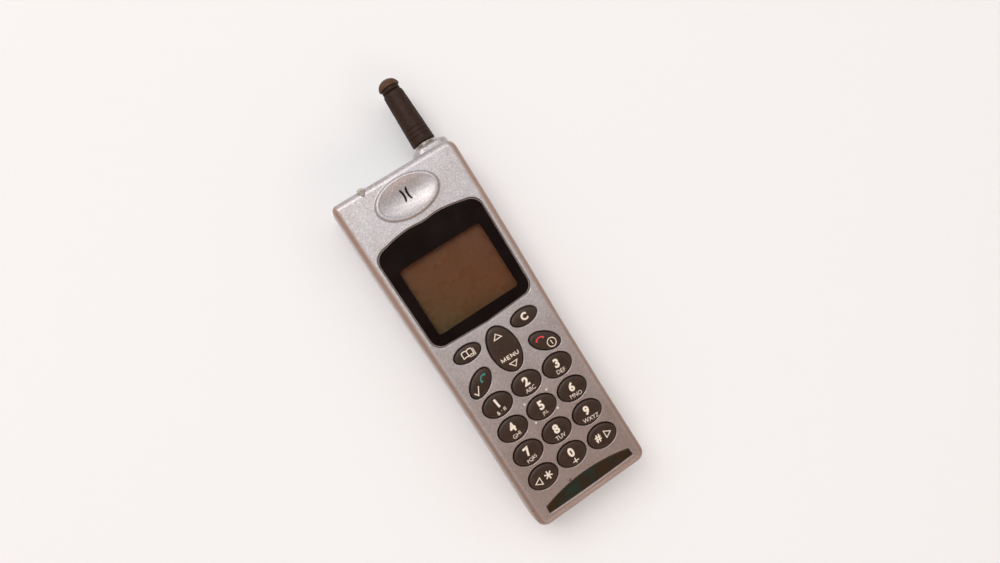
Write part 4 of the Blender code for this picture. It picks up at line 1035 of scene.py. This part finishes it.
def key_dots():
    """The four raised dots round key 5, made pale as a painted highlight of the light they catch."""
    radius, height, low = 0.48, 0.33, FACE_Z - 0.4
    profile = [(0, low), (radius, low), (radius, FACE_Z + 0.02)]
    for t in (20, 40, 60, 78):
        angle = math.radians(t)
        profile.append((radius * math.cos(angle), FACE_Z + height * math.sin(angle)))
    profile.append((0, FACE_Z + height))
    bm = bmesh.new()
    for side in (-1, 1):
        for end in (-1, 1):
            turned(profile, along_z((side * PIPS[0], PIPS_Y + end * PIPS[1])), 20, bm)
    settle(finish_object("key_5_dots", bm, DOT_HIGHLIGHT), "handset", "silver_paint")


# ---------------------------------------------------------------- window, insert, light pipe

def plate(outline_at, low_z, high_z, radius, steps=3):
    """A flat plate with a rounded upper edge."""
    rings = [ring_at(outline_at(0), low_z)]
    for i in range(steps + 1):
        t = math.radians(90 * i / steps)
        rings.append(ring_at(outline_at(-radius * (1 - math.cos(t))), high_z - radius + radius * math.sin(t)))
    return loft(rings)


def window():
    low, high = extent("display_window")
    pane = plate(lambda margin: window_outline(margin - 0.1), low[2], high[2], 0.2)
    settle(finish_object("window_pane", pane, WINDOW), "handset", "window", "display_window")
    # painted highlight: a thin pale ring over the window's rounded rim
    rim_highlight = bmesh.new()
    inner, outer = window_outline(-0.42), window_outline(-0.24)
    rows = [[vertex(rim_highlight, (x, y, z)) for x, y in outline]
            for z in (high[2] - 0.05, high[2] + 0.015) for outline in (outer, inner)]
    for i in range(len(inner)):
        j = (i + 1) % len(inner)
        for first, second in ((0, 2), (2, 3), (3, 1), (1, 0)):
            rim_highlight.faces.new((rows[first][i], rows[first][j], rows[second][j], rows[second][i]))
    place(finish_object("window_rim_highlight", rim_highlight, RIM_HIGHLIGHT), "handset", "window")


def insert():
    low, high = extent("mouthpiece_insert")
    shape = plate(lambda margin: insert_outline(margin - 0.1), low[2], high[2], 0.2)
    settle(finish_object("insert_plate", shape, SMOKED), "handset", "smoked_insert", "mouthpiece_insert")


def status_light():
    piece = finish_object("status_light", status_lens(0.0, 21.0), CLEAR)
    join(piece, light_pipe(0.0, 69.3), cylinder_z((STATUS_LIGHT[0], 70.6), 1.1, 20.4, STATUS_LIGHT[1]))
    settle(piece, "handset", "clear_plastic", "status_light_pipe")


# ---------------------------------------------------------------- antenna

def antenna():
    neck, dome = knob_profiles()
    for name, profile, finish, body, slot, node in (
        ("antenna_collar", ferrule_profile(), NICKEL, "handset", "steel", "antenna_ferrule"),
        ("antenna_sleeve", sleeve_profile(), RUBBER_SLEEVE, "handset", "black_plastic", "antenna_stub"),
        ("antenna_neck", neck, RUBBER_SLEEVE, "antenna_rod", "black_plastic", "antenna_cap"),
        ("antenna_knob", dome, RUBBER_KNOB, "antenna_rod", "black_plastic", "antenna_cap"),
        ("antenna_rod", rod_profile(), STEEL, "antenna_rod", "steel", "antenna_whip"),
    ):
        count = MEDIUM if name == "antenna_rod" else FINE
        shape = turned(profile, along_y((ANTENNA_X, ANTENNA_Z)), count)
        settle(finish_object(name, shape, finish), body, slot, node)


def rod_profile():
    """The whip, with a thicker foot that stops it at the end of its travel."""
    low, high = (corner[1] for corner in extent("antenna_whip"))
    rod, foot = 1.2, 1.4
    return [(0, low), (rod, low), (foot, low + 0.2), (foot, low + 1.9), (rod, low + 2.4), (rod, high - 0.2),
            (rod - 0.2, high), (0, high)]


def ferrule_profile():
    """A turned collar: a flange of fine rings, and the spigot that carries the sleeve."""
    bore, body, spigot, valley, crest = 1.55, 3.7, 2.8, 4.35, 4.6
    low_y, (flange_y, flange_top) = 66.0, FERRULE_FLANGE_Y
    profile = [(bore, low_y), (body, low_y), (body, flange_y), (valley, flange_y)]
    rings = 3
    pitch = (flange_top - flange_y) / rings
    for i in range(rings):
        y = flange_y + i * pitch
        profile += [(crest, y + 0.25 * pitch), (crest, y + 0.6 * pitch), (valley, y + 0.95 * pitch)]
    return profile + [(spigot, flange_top), (spigot, flange_top + 1.8), (bore, flange_top + 1.8)]


def sleeve_profile():
    """The sleeve over the coil: tapered, with three fine grooves near its base and a soft shoulder on top."""
    base_radius, top_radius = 5.3, 4.48
    length = STUB_TOP_Y - STUB_BASE_Y

    def radius(y):
        return base_radius + (top_radius - base_radius) * (y - STUB_BASE_Y) / length

    outside = [(4.9, STUB_BASE_Y), (5.15, STUB_BASE_Y + 0.08),
               (radius(STUB_BASE_Y + 0.35), STUB_BASE_Y + 0.35)]
    for height in (3.1, 5.0, 6.9):
        y = STUB_BASE_Y + height
        for across, depth in ((-0.3, 0.0), (-0.2, 0.04), (-0.12, 0.2), (0.12, 0.2), (0.2, 0.04), (0.3, 0.0)):
            outside.append((radius(y) - depth, y + across))
    for below, inward in ((1.9, 0.0), (1.2, 0.03), (0.7, 0.12), (0.35, 0.27), (0.1, 0.5), (0.0, 0.75)):
        y = STUB_TOP_Y - below
        outside.append((radius(y) - inward, y))
    inside = [(1.55, STUB_TOP_Y), (1.55, STUB_TOP_Y - 2.5), (3.0, STUB_TOP_Y - 3.0),
              (3.0, STUB_BASE_Y)]
    return outside + inside


def knob_profiles():
    """The knob in two parts: a dark waisted neck, and a dome with a rolled rim."""
    low, high = extent("antenna_cap")
    neck, dome = 4.0, 4.7
    base_y, rim_y = low[1], low[1] + 1.75
    bore_y = extent("antenna_whip")[1][1] + GAP
    inner = [(1.4, bore_y), (1.4, base_y)]
    stalk = inner + [(neck - 0.15, base_y), (neck, base_y + 0.15), (neck, rim_y - 0.1),
                     (2.0, rim_y - 0.1), (2.0, bore_y)]
    cap = [(0, bore_y + 0.5), (2.1, bore_y + 0.5), (2.1, rim_y), (neck + 0.3, rim_y),
           (dome - 0.15, rim_y + 0.1), (dome, rim_y + 0.3)]
    rise = high[1] - rim_y - 0.3
    for t in range(10, 90, 10):
        angle = math.radians(t)
        cap.append((dome * math.cos(angle), rim_y + 0.3 + rise * math.sin(angle)))
    return stalk, cap + [(0, high[1])]


# ---------------------------------------------------------------- rear cover and battery

def back_rings(wall=0.0, steps=10):
    rings = [ring_at(body_outline(wall, wall), PARTING_Z)]
    for i in range(steps + 1):
        t = math.radians(90 * i / steps)
        inset = BACK_ROUNDING * (1 - math.cos(t))
        z = BACK_SHOULDER_Z - (BACK_SHOULDER_Z - wall) * math.sin(t)
        rings.append(ring_at(body_outline(wall + inset, wall + inset), z))
    return rings[::-1]


def room_outline(y_low, y_high, inset, end_inset):
    """The outline of a room inside the rear cover, drawn in by the insets."""
    radius = 2.8
    right = []
    for y, start in ((y_low, -90), (y_high - end_inset, 0)):
        toward = radius if y == y_low else -radius
        right += arc((half_width_at(y) - inset - radius, y + toward), radius, start, start + 90, 5)
        if y == y_low:
            between = [(side_y, half) for side_y, half in SIDES if y_low + radius < side_y < y_high - radius]
            right += [(half - inset, side_y) for side_y, half in between]
    return mirrored(right)


def rooms():
    lip = WALL + 1
    low_y, high_y = Y_BOTTOM + WALL, Y_TOP - WALL
    shallow = room_outline(low_y, BAY_END_Y + 6, WALL, 0)
    bm = prism(shallow, FLOOR_INSIDE_Z, PARTING_Z - 1.4)
    prism(room_outline(low_y + 1, high_y - 1, lip, 0), PARTING_Z - 1.6, PARTING_Z + 3, bm)
    deep = []
    start_y = BAY_END_Y + WALL
    steps = 6
    for i in range(steps + 1):
        t = math.radians(90 * i / steps)
        inset = (BACK_ROUNDING - 0.8) * (1 - math.cos(t))
        z = BACK_SHOULDER_Z - (BACK_SHOULDER_Z - WALL) * math.sin(t)
        deep.append(ring_at(room_outline(start_y, high_y, WALL + inset, inset), z))
    deep = deep[::-1]
    deep.append(ring_at(room_outline(start_y, high_y, WALL, 0), PARTING_Z - 1.4))
    return loft(deep, bm)


def bay():
    bm = box((-40, 40), (-90, BAY_END_Y), (-2, FLANK_Z))
    low, high = RAIL_GROOVE_Z
    deep = RAIL_HALF_WIDTH + RAIL_GROOVE_DEPTH
    right = [(RAIL_HALF_WIDTH, FLANK_Z - 1), (RAIL_HALF_WIDTH, low), (deep, low), (deep, high),
             (RAIL_HALF_WIDTH, high), (RAIL_HALF_WIDTH, BAY_FLOOR_Z)]
    return loft([[(x, y, z) for x, z in mirrored(right)] for y in (-PAST_Y, BAY_END_Y)], bm)


def contact_pockets(half_x, y_range, z_range, bm):
    """The pockets round the four battery contacts."""
    for x in (-9.0, -5.4, 5.4, 9.0):
        prism(rounded_rectangle((x - half_x, x + half_x), y_range, 0.4, 3), *z_range, bm)


def rear_cover():
    rings = back_rings()
    for z in (PARTING_Z + 0.01, PARTING_Z + 1.8):
        rings.append(ring_at(body_outline(WALL + 0.2, WALL + 0.2), z))
    cover = finish_object("rear_shell", loft(rings), SILVER)
    join(cover, antenna_shoulder())
    cut(cover, box((ANTENNA_X - 14, PAST_X), (Y_TOP - 5, PAST_Y), (PARTING_Z, PAST_Z)), bay(), rooms())
    posts = bmesh.new()
    for (centre, _), radius, low in zip(screws(), (2.7, 2.7, 2.9, 2.9), (3.4, 3.4, 8.8, 8.8)):
        cylinder_z(centre, radius, low, PARTING_Z - 0.1, 24, posts)
    slab(9.4, (-52, -4), (BAY_FLOOR_Z + 0.5, 11.0), posts)
    slab(2.8, (50.5, 54), (1.0, 10.0), posts)
    join(cover, posts)
    gaps = bmesh.new()
    for (x, y), _ in screws():
        box((x - 3.2, x + 3.2), (y - 3, y + 3), (PARTING_Z, PARTING_Z + 3), gaps)
    slab(10.2, (Y_BOTTOM - 1, Y_BOTTOM + 8), (PARTING_Z, PARTING_Z + 3), gaps)
    bores = bmesh.new()
    for centre, _ in screws():
        cylinder_z(centre, 1.25, 5, PARTING_Z + 4, 16, bores)
    cut(cover, gaps, rear_openings(), bores)
    settle(cover, "handset", "silver_paint", "rear_cover")


def rear_openings():
    bm = bmesh.new()
    for centre, seat in screws():
        cylinder_z(centre, 2.15, -2 if centre[1] > 0 else 7, seat, MEDIUM, bm)
    prism(rounded_rectangle((-8.1, 8.1), (-51, -5.2), 0.6, 4), FLANK_Z, 9.75, bm)
    prism(rounded_rectangle((-3.5, 3.5), (12.4, 17.8), 0.5, 3), FLANK_Z, 10.1, bm)
    contact_pockets(1.3, (14.8, 20.8), (FLANK_Z, 10.1), bm)
    cylinder_y(*FERRULE_HOLE, bm)
    flared(lambda margin: stadium((0, LATCH_Y), 7.4 + margin, 3.9 + margin), 5, 0, 0.5, bm)
    for i in range(5):
        flared(lambda margin: stadium((-11, 54 + 3 * i), 5.0 + margin, 0.6 + margin, 4), 4, 0, 0.3, bm)
    slab(CONNECTOR_HALF, (Y_BOTTOM - 1, Y_BOTTOM + 4), (PARTING_Z - GAP, CONNECTOR_TOP_Z), bm)
    return bm


def battery_pack():
    """The pack's case, hollow with grip bars, and the lid that carries its rails."""
    pack_end = BAY_END_Y - GAP
    room_half, room_y = 21.4, (-72.6, pack_end - WALL)
    grip = bmesh.new()
    for i in range(6):
        flared(lambda margin: stadium((0, 5 + 2.4 * i), 10 + margin, 0.35 + margin, 4), 0.5, 0, 0.3, grip)
    case = finish_object("battery_shell", loft(back_rings()), SILVER)
    cut(case, slab(PAST_X, (-PAST_Y, PAST_Y), (FLANK_Z - GAP, PAST_Z)),
        slab(PAST_X, (pack_end, PAST_Y), (-1, PAST_Z)), slab(room_half, room_y, (1.3, 6)), grip)
    settle(case, "battery_pack", "silver_paint", "battery_case")

    lid = finish_object("battery_inner_lid", loft(back_rings()), BLACK)
    boolean(lid, lid_section(RAIL_HALF_WIDTH - GAP, pack_end), "INTERSECT")
    pockets = prism(rounded_rectangle((-3.3, 3.3), (12.8, 17.6), 0.5, 3), 7.35, 9)
    contact_pockets(1.6, (15.2, 20.0), (5, 9), pockets)
    cut(lid, slab(room_half, room_y, (4, 6.8)), pockets)
    settle(lid, "battery_pack", "black_plastic", "battery_lid")


def lid_section(half, pack_end):
    tongue = RAIL_GROOVE_DEPTH - GAP + 0.2
    low, high = FLANK_Z, BAY_FLOOR_Z - GAP
    tongue_low, tongue_high = RAIL_GROOVE_Z[0] + 0.25, RAIL_GROOVE_Z[1] - 0.25
    right = [(half, low), (half, tongue_low), (half + tongue, tongue_low), (half + tongue, tongue_high),
             (half, tongue_high), (half, high)]
    return loft([[(x, y, z) for x, z in mirrored(right)] for y in (Y_BOTTOM + 0.4, pack_end)])


def latch_button():
    """A thumb button with a rounded edge, a flange, a stem and three grip bars."""
    centre = (0, LATCH_Y)
    rings = [ring_at(stadium(centre, 7.1 + margin, 3.6 + margin), z)
             for margin, z in ((-0.5, 1.0), (-0.2, 1.08), (-0.05, 1.25), (0, 1.5), (0, 2.2))]
    piece = finish_object("latch_thumb_button", loft(rings), BLACK)
    join(piece, prism(stadium(centre, 8.2, 4.7), 2.0, 2.8), cylinder_z(centre, 1.6, 2.4, 10.0))
    bars = bmesh.new()
    for i in (-1, 0, 1):
        prism(stadium((0, LATCH_Y + 1.7 * i), 4.6, 0.3, 3), 0.8, 1.2, bars)
    cut(piece, bars)
    settle(piece, "latch_button", "black_plastic", "battery_latch_button")


def screw_pieces():
    """Case screws with a cross recess and a domed head."""
    head, shank, tip, half_cross, half_slot = 1.85, 0.9, 19.5, 1.1, 0.22
    for number, ((x, y), seat) in enumerate(screws(), 1):
        top = seat - 0.1
        low = top - 1.3
        profile = [(0, low), (1.2, low), (1.6, low + 0.12), (1.8, low + 0.35), (head, low + 0.6), (head, top),
                   (shank, top), (shank, tip - 0.1), (shank - 0.1, tip), (0, tip)]
        piece = finish_object(f"screw_{number}", turned(profile, along_z((x, y)), MEDIUM), STEEL)
        cross = bmesh.new()
        for half_x, half_y in ((half_cross, half_slot), (half_slot, half_cross)):
            box((x - half_x, x + half_x), (y - half_y, y + half_y), (low - 1, low + 0.7), cross)
        cut(piece, cross)
        settle(piece, "handset", "steel", f"case_screw_{number}")


# ---------------------------------------------------------------- CAD nodes that keep their shape

KEPT = {
    DISPLAY: ("lcd_glass",),
    WHITE: ("lcd_frame",),
    BLACK: ("lcd_connector_strip", "microphone_boot", "ringer", "system_connector", "earpiece_speaker"),
    GREY_RUBBER: ("keypad_mat",),
    FOAM: ("earpiece_gasket",),
    TIN: ("dome_switches", "microphone", "shield_can_radio", "shield_can_logic"),
    STEEL: ("backup_cell", "battery_latch_spring", "sim_holder"),
    GOLD: ("antenna_contact", "connector_pins", "battery_contacts"),
    COPPER: ("antenna_coil",),
    NYLON: ("antenna_guide_tube",),
    BOARD: ("main_board", "battery_circuit"),
    CELL_WRAP: ("battery_cell_lower", "battery_cell_upper"),
    CARD: ("sim_card",),
    LED: ("status_led",),
}


def dress_kept_nodes():
    for finish, names in KEPT.items():
        for name in names:
            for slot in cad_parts[name].material_slots:
                slot.material = finish


# ---------------------------------------------------------------- stage

def floor():
    s = Shader("floor")
    s.colour(s.ramp(s.noise(500), ((0.3, (0.86, 0.872, 0.884)), (0.7, (0.875, 0.887, 0.90)))))
    s.rough(s.noise(50), 0.8, 0.9)
    finish_object("floor", prism(ellipse((0, 0), (2500, 2500), 0, 48), -20, 0.0), s.material)


def area_light(name, location, target, size, power, colour=(1, 1, 1)):
    data = bpy.data.lights.new(name, "AREA")
    data.shape = "RECTANGLE"
    data.size, data.size_y = size
    data.energy = power
    data.color = colour
    light = bpy.data.objects.new(name, data)
    bpy.context.scene.collection.objects.link(light)
    light.location = location
    light.rotation_euler = (Vector(target) - Vector(location)).to_track_quat("-Z", "Y").to_euler()


def studio():
    """A pale room: dark over the display, bright beyond the antenna end and warm near the horizon."""
    world = bpy.data.worlds.new("studio")
    bpy.context.scene.world = world
    world.use_nodes = True
    sky = Nodes(world.node_tree)
    direction = sky.node("ShaderNodeTexCoord").outputs["Generated"]
    background = sky.tree.nodes["Background"]

    def glow(toward, low, high, out_low, out_high):
        """Goes from out_low to out_high as the cosine of the angle to a direction goes from low to high."""
        made = sky.node("ShaderNodeVectorMath", direction, operation="DOT_PRODUCT")
        made.inputs[1].default_value = Vector(toward).normalized()
        return sky.remap(made.outputs["Value"], low, high, out_low, out_high, "SMOOTHSTEP")

    colour = sky.mix(glow((0, 0, 1), 0.05, 0.45, 0, 1), (0.52, 0.32, 0.23), (1.0, 0.975, 0.96))
    warmth = glow((0.05, -0.62, 0.78), 0.74, 0.97, 0, 1)
    sky.link(sky.mix(warmth, colour, (1.0, 0.74, 0.62)), background.inputs["Color"])
    overhead = (0.11, -0.26, 0.96)
    shade, rim = glow(overhead, 0.84, 0.93, 1.0, 0.03), glow(overhead, 0.55, 0.84, 0.61, 1.16)
    beyond = glow((0.0, 0.46, 0.88), 0.86, 0.97, 1.0, 2.9)
    near = glow((0.1, -0.75, 0.62), 0.90, 0.98, 1.0, 2.0)
    strength = sky.math("MULTIPLY", sky.math("MULTIPLY", shade, rim), sky.math("MULTIPLY", beyond, near))
    sky.link(strength, background.inputs["Strength"])
    area_light("top_softbox", (-0.6, 1.6, 2.0), (0, 0, 0), (1.2, 1.2), 17.5, (1.0, 0.98, 0.975))
    bpy.context.scene.view_settings.view_transform = "Standard"
    bpy.context.scene.view_settings.look = "None"


def camera():
    """Stands almost over the display, turned so that the antenna points up and to the left."""
    data = bpy.data.cameras.new("camera")
    data.lens = 25.92
    data.sensor_width = 36.0
    data.clip_start = 0.01
    made = bpy.data.objects.new("camera", data)
    bpy.context.scene.collection.objects.link(made)
    right = Vector((0.8303, -0.5355, 0.1543)).normalized()
    back = Vector((-0.1538, 0.0459, 0.9870)).normalized()
    up = back.cross(right).normalized()
    right = up.cross(back)
    turn = Matrix((right, up, back)).transposed().to_4x4()
    made.matrix_world = Matrix.Translation((-0.0322, 0.0307, 0.3173)) @ turn
    bpy.context.scene.camera = made


def main():
    camera()
    studio()
    floor()
    front_cover()
    window()
    insert()
    status_light()
    key_dots()
    for node in KEY_FACTS:
        make_key(node)
    legends()
    antenna()
    rear_cover()
    battery_pack()
    latch_button()
    screw_pieces()
    dress_kept_nodes()


main()
